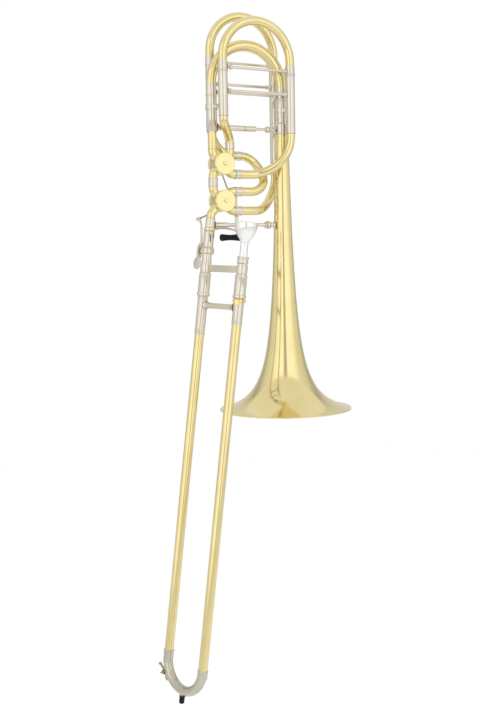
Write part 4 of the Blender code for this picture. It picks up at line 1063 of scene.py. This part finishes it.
@dataclass
class Levers(Assembly):
    """Thumb lever and finger trigger, with their bearings, rods and rests."""

    arm_y: float = 18.05
    rod_y: float = 20.95
    inward: float = -1.15
    roller_forward: float = 15.5
    spindle_x: float = -88.0
    spindle_y: float = 10.5
    foot_z: float = 313.0
    crank_x: float = -83.0
    crank_y: float = 37.5
    crank_z: float = 391.0

    @property
    def pivot(self) -> Vector:
        """The thumb lever's pivot."""
        return at(-154.5, self.arm_y, 300.5)

    def build(self) -> None:
        """Make both linkages."""
        self.build_thumb_lever()
        self.build_saddle()
        self.build_trigger()
        self.build_bearing()
        self.build_roller()
        pin = self.arm_pin(PLAN.lower_valve, 15)
        self.build_rod("f_rod", "f_link", "f_link_rod", at(-158.5, self.rod_y, 346), pin, REAR, REAR)
        pin = self.arm_pin(PLAN.upper_valve, 12)
        low = at(self.crank_x - 4.7, self.crank_y, self.crank_z)
        self.build_rod("gb_rod", "gb_link", "gb_link_rod", pin, low, REAR, RIGHT)
        for node in ("f_stop_arm", "gb_stop_arm", "f_rotor", "gb_rotor"):
            self.shop.redress(node, Finish.NICKEL)

    def arm_pin(self, centre: float, length: float) -> Vector:
        """Where a stop arm of some length holds its rod."""
        return at(PLAN.valve_x + length * DIAGONAL, self.rod_y, centre - length * DIAGONAL)

    def build_thumb_lever(self) -> None:
        """The thumb lever: a curved arm, its hub, a plate with two screws, and a rounded paddle."""
        shop, pivot, lever = self.shop, self.pivot, "f_lever"
        eye = at(-158.5, self.arm_y, 346)
        knots = [eye + REAR * self.inward]
        knots += [pivot + at(x, self.inward, z)
                  for x, z in ((-0.6, 38.5), (0.0, 28.0), (-0.8, 6.0), (-2.2, -15.0), (-5.5, -23.0))]
        knots.append(at(-161.2, self.arm_y + 2.25, 271.0))
        arm = shop.tube("thumb_lever_arm", smooth_line(knots), 2.0, 0, 20)
        hub = shop.carry(shop.turn("hub", disc(4.5, 3.0, 0.4, 0.4, 1.9), 32, True), stand(pivot, REAR))
        end = shop.carry(shop.turn("end", EYE, 28), stand(eye, REAR))
        shop.dress(shop.fuse(arm, hub, end), Finish.NICKEL, lever, "f_thumb_lever")
        plate = shop.carry(shop.block("thumb_plate", (9.5, 2.4, 22.5), 0.8),
                           shift(*(pivot + at(-5.1, -1.0, -11.7))) @ Matrix.Rotation(math.radians(9), 4, "Y"))
        shop.dress(plate, Finish.NICKEL, lever)
        head = [(0, 0.9), (1.2, 0.9), (1.6, 0.5), (1.6, 0), (0, 0)]
        for number, spot in enumerate((at(-2.4, -2.2, -6.0), at(-3.4, -2.2, -13.5))):
            screw = shop.screw(f"thumb_screw_{number}", head, 20, (4, 0.45, 0.7), 0.95)
            shop.dress(shop.carry(screw, stand(pivot + spot, FRONT)), Finish.STEEL, lever)
        paddle = [(0, 1.0), (6.0, 0.9), (9.6, 0.55), (10.7, 0.1), (11.0, -0.5), (10.4, -1.05), (8.0, -1.1),
                  (0, -1.0)]
        shop.piece("thumb_paddle", paddle, stand(at(-162.4, self.arm_y + 3.4, 269.5), at(-1, -0.18, 0.12)),
                   Finish.NICKEL, lever, steps=48, ring=False)

    def build_saddle(self) -> None:
        """The lever's saddle, its pin and the post from the slide receiver."""
        shop, front = self.shop, self.pivot + FRONT * 5.3
        foot = at(PLAN.neck_x(front.z), 0, front.z)
        way = (front - foot).normalized()
        cheek = shop.carry(shop.turn("thumb_saddle", disc(4.5, 1.5, 0.5, 0.5), 32), stand(front, REAR))
        pin = shop.turn("pin", [(0, 4.5), (1.3, 4.5), (1.6, 4.2), (1.6, -4.5), (0, -4.5)], 20)
        shop.carry(pin, stand(self.pivot + FRONT * 0.8, REAR))
        post = shop.tube("post", [foot + way * 9.75, front], 2.2, 0, 20)
        shop.dress(shop.fuse(cheek, pin, post), Finish.NICKEL, BELL_SECTION, "f_lever_saddle")

    def build_trigger(self) -> None:
        """The finger trigger: one bent rod with an eye on its crank."""
        shop, radius, quarter = self.shop, 4.0, math.pi / 2
        reach = at(self.crank_x, self.crank_y, self.crank_z)
        foot, knee = (at(self.spindle_x, self.spindle_y, z) for z in (self.foot_z, self.crank_z))
        grip = foot + FRONT * self.roller_forward
        corner = bend(grip + LEFT * radius, RIGHT, REAR, radius, quarter, steps=8)
        heel = bend(foot + FRONT * radius, REAR, UP, radius, quarter, steps=8)
        shoulder = bend(knee + DOWN * radius, UP, (reach - knee).normalized(), radius, quarter, steps=8)
        rod = shop.tube("trigger_rod", [grip + LEFT * 34.5] + corner + heel + shoulder + [reach], 1.7, 0, 20)
        eye = shop.carry(shop.turn("eye", EYE, 28), stand(reach, RIGHT))
        shop.dress(shop.fuse(rod, eye), Finish.NICKEL, "gb_lever", "gb_trigger")

    def build_bearing(self) -> None:
        """The trigger's bearing tube, with its end rings and its curved stay."""
        shop = self.shop
        tube = shop.turn("trigger_bearing_tube", sleeve(322.5, 352.0, 2.9, 0.9, 0.7, 0.7, 2.6), 32, True)
        shop.carry(tube, stand(at(self.spindle_x, self.spindle_y, 0)))
        anchor = SLIDE @ at(0, 0, 31.9 * MM) / MM
        start, end = at(anchor.x + 9.4, 3.5, anchor.z), at(-90.0, self.spindle_y, 325.5)
        middle = start.lerp(end, 0.55) + UP * 3.0
        line = smooth_line([start, start.lerp(middle, 0.5) + UP * 1.2, middle,
                            middle.lerp(end, 0.6) + UP * 0.7, end])
        stay = shop.tube("stay", line, 1.8, 0, 18)
        shop.dress(shop.fuse(tube, stay), Finish.NICKEL, BELL_SECTION, "gb_trigger_bearing")

    def build_roller(self) -> None:
        """The waisted rubber roller on the trigger's foot."""
        length, steps, outline = 37.0, 16, []
        for t in (step / steps for step in range(steps + 1)):
            waist = 4.9 + 1.7 * abs(2 * t - 1) ** 1.8
            edge = 0.9 * max(0.0, 1 - min(t, 1 - t) / 0.035)
            outline.append((waist - edge, -length * t))
        place = stand(at(-90.5, self.spindle_y - self.roller_forward, self.foot_z), RIGHT)
        self.shop.piece("finger_roller", outline + [(2.0, -length), (2.0, 0.0)], place, Finish.RUBBER,
                        "gb_roller", "gb_finger_roller")

    def build_rod(self, name: str, body: str, node: str, start: Vector, end: Vector, start_axis: Vector,
                  end_axis: Vector) -> None:
        """A link rod with a ball joint's eye and locknut at each end.

        Args:
            name: The rod's name.
            body: The body that it moves with.
            node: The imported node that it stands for.
            start: Centre of its first eye.
            end: Centre of its second eye.
            start_axis: Axis of the first eye.
            end_axis: Axis of the second eye.
        """
        shop, way = self.shop, (end - start).normalized()
        pieces = [shop.tube(f"{name}_shank", [start, end], 1.3, 0, 18)]
        for point, axis, along in ((start, start_axis, way), (end, end_axis, -way)):
            eye = shop.turn("eye", disc(3.4, 1.25, 0.5, 0.4), 28)
            pieces.append(shop.carry(eye, stand(point, axis)))
            nut = shop.turn("nut", [(0, 3.2), (2.0, 3.0), (2.2, 2.6), (2.2, 0.4), (2.0, 0), (0, -0.2)], 6)
            pieces.append(shop.carry(nut, stand(point + along * 3.6, along)))
        shop.dress(shop.fuse(*pieces), Finish.ROD, body, node, angle=30)


@dataclass
class HandSlide(Assembly):
    """The hand slide: tenon and lock nut, inner slide, outer slide, bow, lock and water key."""

    inner: str = "inner_slide"
    outer: str = "outer_slide"
    bow_z: float = -722.5
    bow_tube: float = 8.4
    key_angle: float = math.radians(222)

    @property
    def half(self) -> float:
        """Half of the tubes' spacing, which is the bow's radius."""
        return PLAN.spacing / 2

    def along(self, name: str, profile: Profile, x: float, finish: Finish, body: str, *nodes: str,
              steps: int = 44, ring: bool = True) -> None:
        """Turn and dress a piece that stands along the slide.

        Args:
            name: The piece's name.
            profile: Its profile, in heights up the slide's axis.
            x: 0 for the left tube, the spacing for the right one.
            finish: What it is made of.
            body: The body that it moves with.
            nodes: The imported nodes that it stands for.
            steps: Facets round it.
            ring: Whether the profile closes on itself.
        """
        self.shop.piece(name, profile, SLIDE @ shift(x), finish, body, *nodes, steps=steps, ring=ring)

    def build(self) -> None:
        """Make the whole slide."""
        self.build_receiver()
        self.build_upper_tubes()
        self.build_inner_brace()
        self.build_outer_tubes()
        self.build_bow()
        self.build_lock()
        self.build_water_key()

    def build_receiver(self) -> None:
        """The receiver on the bell section, with a dark strip of painted shade for its slot, and the ribbed
        lock nut below it.
        """
        shop = self.shop
        self.along("receiver_sleeve", [
            (9.0, 27.9), (9.35, 27.5), (9.35, 25.6), (9.15, 25.2), (9.15, 3.2), (9.6, 2.8), (9.75, 2.2),
            (9.75, 0.9), (9.4, 0.3), (8.55, 0.3), (8.55, 27.9)],
            0, Finish.NICKEL, BELL_SECTION, "slide_receiver")
        # The slot is a thin dark block on the sleeve: painted shade standing for the shadow in the cut.
        spot = SLIDE @ at(0, 0, 16.5 * MM) / MM + 9.15 * at(-0.13, -0.991, 0)
        slot = shop.block("receiver_slot_painted_shade", (2.4, 13.0, 0.5), 0.2)
        shop.carry(slot, stand(spot, at(-0.13, -0.991, 0.02)))
        shop.dress(slot, Finish.STEEL, BELL_SECTION)
        nut = shop.turn("lock_nut", [
            (9.6, 0.0), (10.6, -0.5), (11.2, -1.2), (12.0, -1.6), (12.0, -9.4), (11.4, -9.9), (10.6, -10.5),
            (9.6, -11.0), (8.55, -11.0), (8.55, 0.0)], 72, True)
        shop.knurl(nut, 0.35, -9.2, -1.8, 11.5)
        shop.dress(shop.carry(nut, SLIDE), Finish.NICKEL, "lock_nut", "slide_lock_nut", angle=30)

    def build_upper_tubes(self) -> None:
        """Tenon, mouthpiece receiver, the two inner tubes and the cork barrels at their tops."""
        body, right = self.inner, PLAN.spacing
        self.along("tenon", sleeve(-46.5, 20, 8.25, 0.6), 0, Finish.NICKEL, body, "slide_tenon")
        self.along("tenon_cuff", sleeve(-27.4, -21.5, 8.75, 0.5, 0.35, 0.35, 1.5), 0, Finish.NICKEL, body)
        self.along("mouthpiece_socket", [
            (9.0, -13.9), (9.9, -14.4), (10.1, -15.2), (10.1, -16.6), (9.5, -17.4), (9.3, -18.0),
            (9.3, -23.4), (9.6, -24.2), (9.6, -25.4), (8.9, -26.0), (8.25, -26.4), (8.25, -46.5),
            (7.7, -46.5), (7.7, -43.5), (6.4, -42.4), (7.0, -13.9)],
            right, Finish.NICKEL, body, "mouthpiece_receiver")
        for side, x, top in (("left", 0.0, -34.5), ("right", right, -43.8)):
            self.along(f"inner_tube_{side}_chromed", sleeve(-640, top, 7.4, 0.5), x, Finish.NICKEL, body,
                       f"inner_tube_{side}", steps=36)
            self.along(f"stocking_{side}", sleeve(-700, -640, 7.55, 0.6), x, Finish.NICKEL, body, steps=36)
        for side, x in (("left", 0.0), ("right", right)):
            self.along(f"cork_barrel_{side}_sleeve", [
                (8.9, -43.2), (9.6, -43.7), (10.1, -44.8), (10.1, -47.0), (10.4, -47.4), (10.4, -48.4),
                (10.2, -48.8), (10.2, -78.2), (10.9, -78.8), (11.25, -79.6), (11.25, -83.2), (10.9, -84.0),
                (10.2, -84.2), (9.1, -84.2), (9.1, -47.0), (8.55, -46.9), (8.55, -43.2)],
                x, Finish.NICKEL, body, f"cork_barrel_{side}", steps=48)

    def build_inner_brace(self) -> None:
        """The flat grip bar with rounded edges, and a clamp round each tube."""
        shop, middle, height = self.shop, -35.4, 12.8
        band = sleeve(middle - height / 2, middle + height / 2, 9.45, 0.9, 0.3, 0.3, 1.6)
        rings = [shop.carry(shop.turn("clamp", band, 44, True), shift(x)) for x in (0.0, PLAN.spacing)]
        clamps = shop.carry(shop.fuse(*rings), SLIDE)
        clamps.name = "inner_brace_clamps"
        shop.dress(clamps, Finish.NICKEL, self.inner)
        bar = shop.block("inner_brace", (PLAN.spacing - 18.2, 3.0, height * 0.92), 0.9)
        shop.carry(bar, SLIDE @ shift(self.half, 0, middle))
        shop.dress(bar, Finish.WORN, self.inner, "inner_slide_brace")

    def build_outer_tubes(self) -> None:
        """The outer tubes with their nickel mouths and rings, and the grip brace between them."""
        shop = self.shop
        for side, x, end in (("left", 0.0, -151.9), ("right", PLAN.spacing, -128.8)):
            self.along(f"outer_tube_{side}_brass", sleeve(-719, -52, 8.2, 0.5), x, Finish.BRASS, self.outer,
                       f"outer_tube_{side}", steps=40)
            self.along(f"outer_mouth_{side}", [
                (8.6, -85.2), (9.2, -85.6), (9.5, -86.4), (9.5, -88.0), (9.0, -88.6), (8.85, -89.2),
                (8.85, end + 2.4), (9.15, end + 2.0), (9.15, end + 0.5), (8.8, end), (8.22, end),
                (8.22, -85.2)], x, Finish.NICKEL, self.outer)
        start, end = at(9.0, 0, -99.7), at(PLAN.spacing - 9.0, 0, -99.7)
        length = (end - start).length
        foot = [(7.4, 0), (7.9, 0.6), (7.6, 1.8), (5.6, 4.0), (5.0, 7.0), (4.85, length * 0.25)]
        profile = [(0, length), *((radius, length - height) for radius, height in foot), *foot[::-1], (0, 0)]
        brace = shop.carry(shop.turn("outer_brace", profile, 40), SLIDE @ stand(start, end - start))
        shop.dress(brace, Finish.WORN, self.outer, "outer_slide_brace")

    def build_bow(self) -> None:
        """The nickel bow, its sockets, and the rubber stop with its collar."""
        half, right, top = self.half, PLAN.spacing, self.bow_z + 2.0
        arc = bend(at(0, 0, self.bow_z), DOWN, RIGHT, half, math.pi, steps=48)
        bow = self.shop.tube("bow_tube", [at(0, 0, top), *arc, at(right, 0, top)], self.bow_tube, 0.6, 40)
        self.shop.dress(self.shop.carry(bow, SLIDE), Finish.DULL, self.outer, "slide_bow")
        for side, x, rim in (("left", 0.0, -710.0), ("right", right, -718.6)):
            self.along(f"bow_socket_{side}", [
                (8.7, rim), (9.1, rim - 0.4), (9.25, rim - 1.0), (9.25, rim - 2.2), (9.0, rim - 2.8),
                (8.9, rim - 4.0), (8.9, -732.0), (8.6, -733.2), (8.45, -733.4), (8.45, -722.0),
                (8.25, -721.0), (8.25, rim)], x, Finish.DULL, self.outer)
        low = self.bow_z - half - 8.2
        self.along("bow_collar", [
            (0, low + 1.0), (4.0, low + 1.0), (4.6, low + 0.4), (4.6, low - 0.6), (4.2, low - 1.0),
            (0, low - 1.0)], half, Finish.DULL, self.outer, steps=32, ring=False)
        self.along("bow_bumper", [
            (0, low - 1.0), (5.0, low - 1.0), (5.3, low - 1.8), (5.3, low - 3.2), (4.7, low - 4.0),
            (4.7, low - 12.6), (4.3, low - 14.0), (3.2, low - 15.0), (0, low - 15.0)], half, Finish.RUBBER,
            self.outer, "bow_stop", steps=32, ring=False)

    def build_lock(self) -> None:
        """The slide lock: a ribbed ring with a finger lug and a catch."""
        shop = self.shop
        ring = shop.turn("lock_ring", [
            (9.6, -84.8), (10.6, -85.1), (11.2, -85.7), (11.2, -89.9), (10.6, -90.5), (9.9, -90.8),
            (9.55, -90.8), (9.55, -84.8)], 60, True)
        shop.knurl(ring, 0.2, -89.7, -85.9, 10.9)
        lug = shop.carry(shop.block("lug", (6.4, 4.0, 4.8), 0.8), shift(12.8, 0, -87.8))
        catch = shop.carry(shop.block("catch", (3.2, 8.4, 9.6), 1.2),
                           Matrix.Rotation(math.radians(-61), 4, "Z") @ shift(10.6, 0, -91.0))
        shop.carry(shop.fuse(ring, lug, catch), SLIDE @ shift(PLAN.spacing))
        shop.dress(ring, Finish.BRASS, "slide_lock", "slide_lock_ring", angle=30)

    def build_water_key(self) -> None:
        """The water key's lever and pad, its drain nipple, its saddle, its screw and its spring; the lever,
        saddle and screw are darkened with painted shade.
        """
        shop, centre = self.shop, at(self.half, 0, self.bow_z)
        out = at(math.cos(self.key_angle), 0, math.sin(self.key_angle))
        along = at(-out.z, 0, out.x)
        surface = self.half + self.bow_tube
        pad = centre + out * (surface + 1.7)
        pivot = pad + out * 2.2 - along * 12
        line = smooth_line([pad + out * 1.6, pad + out * 3.0 - along * 5, pivot, pad + out * 3.2 - along * 20,
                            pad + out * 6.2 - along * 29])
        arm = shop.tube("water_key_lever", line, 2.0, 0, 20)
        plate = shop.turn("disc", [
            (0, 3.2), (3.2, 3.1), (4.6, 2.4), (5.2, 1.4), (5.2, -0.6), (4.9, -1.0), (0, -1.0)], 32)
        hub = shop.turn("hub", disc(3.1, 5.6, 0.3, 0.4), 28)
        touch = shop.turn("touch", [(0, 0.8), (2.8, 0.7), (3.6, 0.2), (3.4, -0.6), (0, -0.8)], 28)
        shop.carry(plate, stand(pad, out))
        shop.carry(hub, stand(pivot, REAR))
        shop.carry(touch, stand(pad + out * 6.0 - along * 29, (out + along * 0.3).normalized()))
        key = shop.carry(shop.fuse(arm, plate, hub, touch), SLIDE)
        # Darkened finish on the key: painted shade for the shadow that the nickel key lies in.
        shop.dress(key, Finish.ROD, "key_lever", "water_key")
        shop.piece("drain_nipple", [(2.2, 0.9), (4.4, 0.9), (4.9, 0.4), (5.4, -1.6), (2.2, -1.6)],
                   SLIDE @ stand(centre + out * (surface - 0.25), out), Finish.BRASS, self.outer, steps=28)
        self.build_key_saddle(centre, pivot, surface)
        self.build_spring(pivot, out, along)

    def build_key_saddle(self, centre: Vector, pivot: Vector, surface: float) -> None:
        """The water key's saddle, of two cheeks, and the screw that is its pin.

        Args:
            centre: Centre of the bow.
            pivot: The key's pivot.
            surface: Outer radius of the bow.
        """
        shop, way = self.shop, (pivot - centre).normalized()
        foot, cheeks = centre + way * (surface - 0.8), []
        for side in (-1, 1):
            cheek = shop.block("cheek", (6.2, 1.6, (pivot - foot).length + 6.0), 0.5)
            cheeks.append(shop.carry(cheek, stand(foot.lerp(pivot, 0.5) + REAR * side * 6.8, way)))
        saddle = shop.carry(shop.fuse(*cheeks), SLIDE)
        saddle.name = "water_key_saddle"
        # Darkened finish on the saddle: painted shade on nickel that lies in shadow.
        shop.dress(saddle, Finish.ROD, self.outer)
        pin = [(0, 9.4), (1.4, 9.4), (1.8, 9.0), (1.8, 7.8), (1.2, 7.6), (1.2, -10.6), (0, -11.2)]
        # Darker nickel on the screw: painted shade.
        shop.piece("water_key_screw", pin, SLIDE @ stand(pivot, REAR), Finish.DULL, self.outer, steps=20,
                   ring=False)

    def build_spring(self, pivot: Vector, out: Vector, along: Vector) -> None:
        """The fine wire spring wound beside the water key's hub.

        Args:
            pivot: The key's pivot.
            out: The way out from the bow.
            along: The way along the bow.
        """
        turns, facets, wire = 2, 16, []
        for step in range(turns * facets + 1):
            angle = math.tau * step / facets
            spot = pivot + 3.7 * (math.cos(angle) * out + math.sin(angle) * along)
            wire.append(spot + FRONT * (2.4 + 2.2 * step / (turns * facets)))
        spring = self.shop.tube("water_key_spring", wire, 0.55, 0, 8)
        self.shop.dress(self.shop.carry(spring, SLIDE), Finish.STEEL, "key_lever")


@dataclass
class Mouthpiece(Assembly):
    """The cup mouthpiece in the slide's right tube."""

    mouth: float = -13.9
    rim: float = 44.1

    def build(self) -> None:
        """Turn the rim, cup, throat, neck and shank in one."""
        outer = ((16.5, 0), (17.8, 0.25), (18.8, 0.9), (19.35, 2.0), (19.5, 3.4), (19.45, 5.4), (19.2, 7.6),
                 (18.7, 10.2), (17.9, 13.2), (16.6, 16.8), (14.6, 21.0), (12.2, 25.0), (10.0, 28.0),
                 (8.6, 30.0), (8.1, 31.2), (8.3, 32.0), (8.0, 32.8), (7.0, 34.0), (6.7, 36.0), (6.6, 40.0))
        shank = ((6.7, 2), (6.68, 0), (6.1, -28.4), (5.2, -28.4))
        cup = ((3.6, 30.0), (3.5, 27.0), (4.2, 24.5), (6.0, 21.5), (8.5, 18.0), (10.8, 13.0), (12.4, 8.0),
               (13.3, 4.0), (13.8, 1.4), (14.3, 0.4), (15.2, 0))
        profile = [(radius, self.rim - depth) for radius, depth in outer]
        profile += [(radius, self.mouth + height) for radius, height in shank]
        profile += [(radius, self.rim - depth) for radius, depth in cup]
        self.shop.piece("mouthpiece_cup", profile, SLIDE @ shift(PLAN.spacing), Finish.SILVER,
                        "mouthpiece_body", "mouthpiece", steps=64, angle=45)


@dataclass(frozen=True)
class Studio:
    """Camera, lamps, world and floor."""

    eye: tuple[float, float, float] = (-0.904, -1.583, 0.270)
    right: tuple[float, float, float] = (0.8888, -0.4579, -0.0193)
    up: tuple[float, float, float] = (0.0618, 0.0779, 0.9950)
    lens: float = 50.0
    floor_drop: float = 0.66
    ceiling_edge: tuple[float, float] = (0.55, 0.60)
    ceiling: tuple[float, float, float, float] = (0.88, 0.88, 0.87, 1)
    walls: tuple[tuple[float, float], ...] = (
        (0.0, 0.75), (0.05, 0.64), (0.11, 0.46), (0.20, 0.56), (0.35, 0.78), (0.62, 0.88), (0.82, 1.20),
        (0.990, 1.27), (0.9975, 0.62), (1.0, 0.48))

    def build(self, low: Vector) -> None:
        """Set the camera, the light and the floor.

        Args:
            low: Lowest corner of the object.
        """
        scene = bpy.context.scene
        scene.view_settings.view_transform = "Standard"
        right, up = Vector(self.right).normalized(), Vector(self.up).normalized()
        back = right.cross(up).normalized()
        up = back.cross(right)
        data = bpy.data.cameras.new("camera")
        data.lens = self.lens
        data.sensor_width = 36.0
        data.clip_end = 20
        camera = bpy.data.objects.new("camera", data)
        scene.collection.objects.link(camera)
        turn = Matrix((right, up, back)).transposed().to_4x4()
        camera.matrix_world = Matrix.Translation(self.eye) @ turn
        scene.camera = camera
        self.build_world(back)
        self.lamp("key_lamp", (-1.6, -1.5, 1.9), 1.5, 26)
        self.lamp("fill_lamp", (1.9, -1.1, 1.2), 1.5, 16)
        self.build_floor(low.z - self.floor_drop)

    def lamp(self, name: str, place: tuple[float, float, float], size: float, power: float) -> None:
        """Hang one soft lamp that faces the instrument's middle.

        Args:
            name: The lamp's name.
            place: Where it hangs, in metres.
            size: Its width, in metres.
            power: Its power, in watts.
        """
        data = bpy.data.lights.new(name, "AREA")
        data.size = size
        data.energy = power
        item = bpy.data.objects.new(name, data)
        bpy.context.scene.collection.objects.link(item)
        item.visible_glossy = False
        item.location = place
        item.rotation_mode = "QUATERNION"
        item.rotation_quaternion = (Vector((-0.1, 0, 0.1)) - Vector(place)).to_track_quat("-Z", "Y")

    def build_world(self, back: Vector) -> None:
        """A white studio, whose even ceiling stands over walls that are darker between the softboxes.

        Args:
            back: The way from the object to the camera.
        """
        world = bpy.data.worlds.new("studio")
        bpy.context.scene.world = world
        world.use_nodes = True
        world.node_tree.nodes.clear()
        sheet, white = NodeSheet(world.node_tree), (1, 1, 1, 1)
        level = Vector((back.x, back.y, 0)).normalized()
        out, where, path = sheet.add("OutputWorld"), sheet.add("TexCoord"), sheet.add("LightPath")
        flat = sheet.add("VectorMath", {1: (1, 1, 0)}, "MULTIPLY")
        unit = sheet.add("VectorMath", operation="NORMALIZE")
        toward = sheet.add("VectorMath", {1: level}, "DOT_PRODUCT")
        share = sheet.add("MapRange", {"From Min": -1, "From Max": 1})
        walls = sheet.ramp(*((spot, (value, value, value * 0.99)) for spot, value in self.walls))
        split = sheet.add("SeparateXYZ")
        above = sheet.add("MapRange", {"From Min": self.ceiling_edge[0], "From Max": self.ceiling_edge[1]})
        shell = sheet.add("MixRGB", {"Color2": self.ceiling})
        backdrop = sheet.add("Background", {"Color": white})
        mirror = sheet.add("Background")
        fill = sheet.add("Background", {"Color": white, "Strength": 0.75})
        glossy, seen = sheet.add("MixShader"), sheet.add("MixShader")
        sheet.join(
            (where, "Generated", flat, 0), (flat, "Vector", unit, 0), (unit, "Vector", toward, 0),
            (toward, "Value", share, "Value"), (share, "Result", walls, "Fac"),
            (where, "Generated", split, "Vector"), (split, "Z", above, "Value"),
            (above, "Result", shell, "Fac"), (walls, "Color", shell, "Color1"),
            (shell, "Color", mirror, "Color"), (path, "Is Glossy Ray", glossy, 0),
            (fill, "Background", glossy, 1), (mirror, "Background", glossy, 2),
            (path, "Is Camera Ray", seen, 0), (glossy, "Shader", seen, 1),
            (backdrop, "Background", seen, 2), (seen, "Shader", out, "Surface"))

    def build_floor(self, height: float) -> None:
        """A pale floor that fades into the white backdrop and keeps a soft shadow.

        Args:
            height: Where it lies, in metres.
        """
        Workshop.clear()
        bpy.ops.mesh.primitive_circle_add(vertices=96, radius=6, fill_type="NGON", location=(0, 0, height))
        floor = bpy.context.object
        floor.name = "floor"
        material, sheet, shader = new_surface("pale_floor", {
            "Base Color": (0.96, 0.96, 0.96, 1), "Roughness": 0.9})
        path, mix = sheet.add("LightPath"), sheet.add("MixShader")
        glow = sheet.add("Emission", {"Strength": 1.06})
        share = sheet.add("Math", {1: 0.80}, "MULTIPLY")
        out = sheet.tree.nodes["Material Output"]
        sheet.join((path, "Is Camera Ray", share, 0), (share, "Value", mix, 0), (shader, "BSDF", mix, 1),
                   (glow, "Emission", mix, 2), (mix, "Shader", out, "Surface"))
        floor.data.materials.append(material)
        floor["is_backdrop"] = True


def tuning_slides(shop: Workshop) -> list[TuningSlide]:
    """The three tuning slides.

    Args:
        shop: The bench.

    Returns:
        The main slide, then the upper valve's, then the lower valve's.
    """
    tube = PLAN.valve_tube
    return [
        TuningSlide(shop, "main", PLAN.main_left, 0.0, 0.0, PLAN.main_top, 576.0, 50.0, 8.6, 10.4, 576.0),
        TuningSlide(shop, "gb", PLAN.gb_left, PLAN.gb_right, PLAN.gb_y, PLAN.gb_top, 616.0, 68.0, tube, tube,
                    610.0),
        TuningSlide(shop, "f", PLAN.f_left, PLAN.f_right, PLAN.f_y, PLAN.f_top, 639.0, 95.0, tube, tube,
                    631.0)]


def valves(shop: Workshop) -> tuple[RotaryValve, RotaryValve]:
    """The two valves, with the way that each of their ports leaves.

    Args:
        shop: The bench.

    Returns:
        The upper valve and the lower one.
    """
    down = (SLIDE.to_3x3() @ DOWN).normalized()
    upper = RotaryValve(shop, "gb", PLAN.upper_valve,
                        ((0, UP, 0.0), (1, UP, 0.0), (2, DOWN, 0.0), (3, RIGHT, 0.0)))
    lower = RotaryValve(shop, "f", PLAN.lower_valve)
    port = at(-DIAGONAL, 0, -DIAGONAL)
    turn = port.angle(down)
    start = lower.middle + port * lower.casing
    gap = abs((start - at(PLAN.slide_x, 0, PLAN.slide_z)).dot(at(-down.z, 0, down.x)))
    straight = (gap - lower.bend_radius * (1 - math.cos(turn))) / math.sin(turn)
    lower.ports = ((0, RIGHT, 0.0), (1, UP, 0.0), (2, down, straight), (3, RIGHT, 0.0))
    return upper, lower


def main() -> None:
    """Build the instrument's looks piece by piece, then the studio."""
    logging.basicConfig(level=logging.INFO, format="%(name)s %(message)s")
    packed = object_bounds()
    shop = Workshop()
    upper, lower = valves(shop)
    for assembly in (Bell(shop), OuterLegs(shop), *tuning_slides(shop), upper, lower,
                     ValveTubing(shop, upper, lower), Levers(shop), HandSlide(shop), Mouthpiece(shop)):
        assembly.build()
    Studio().build(packed[0])
    LOG.info("%d pieces made", shop.count)


if __name__ == "__main__":
    main()
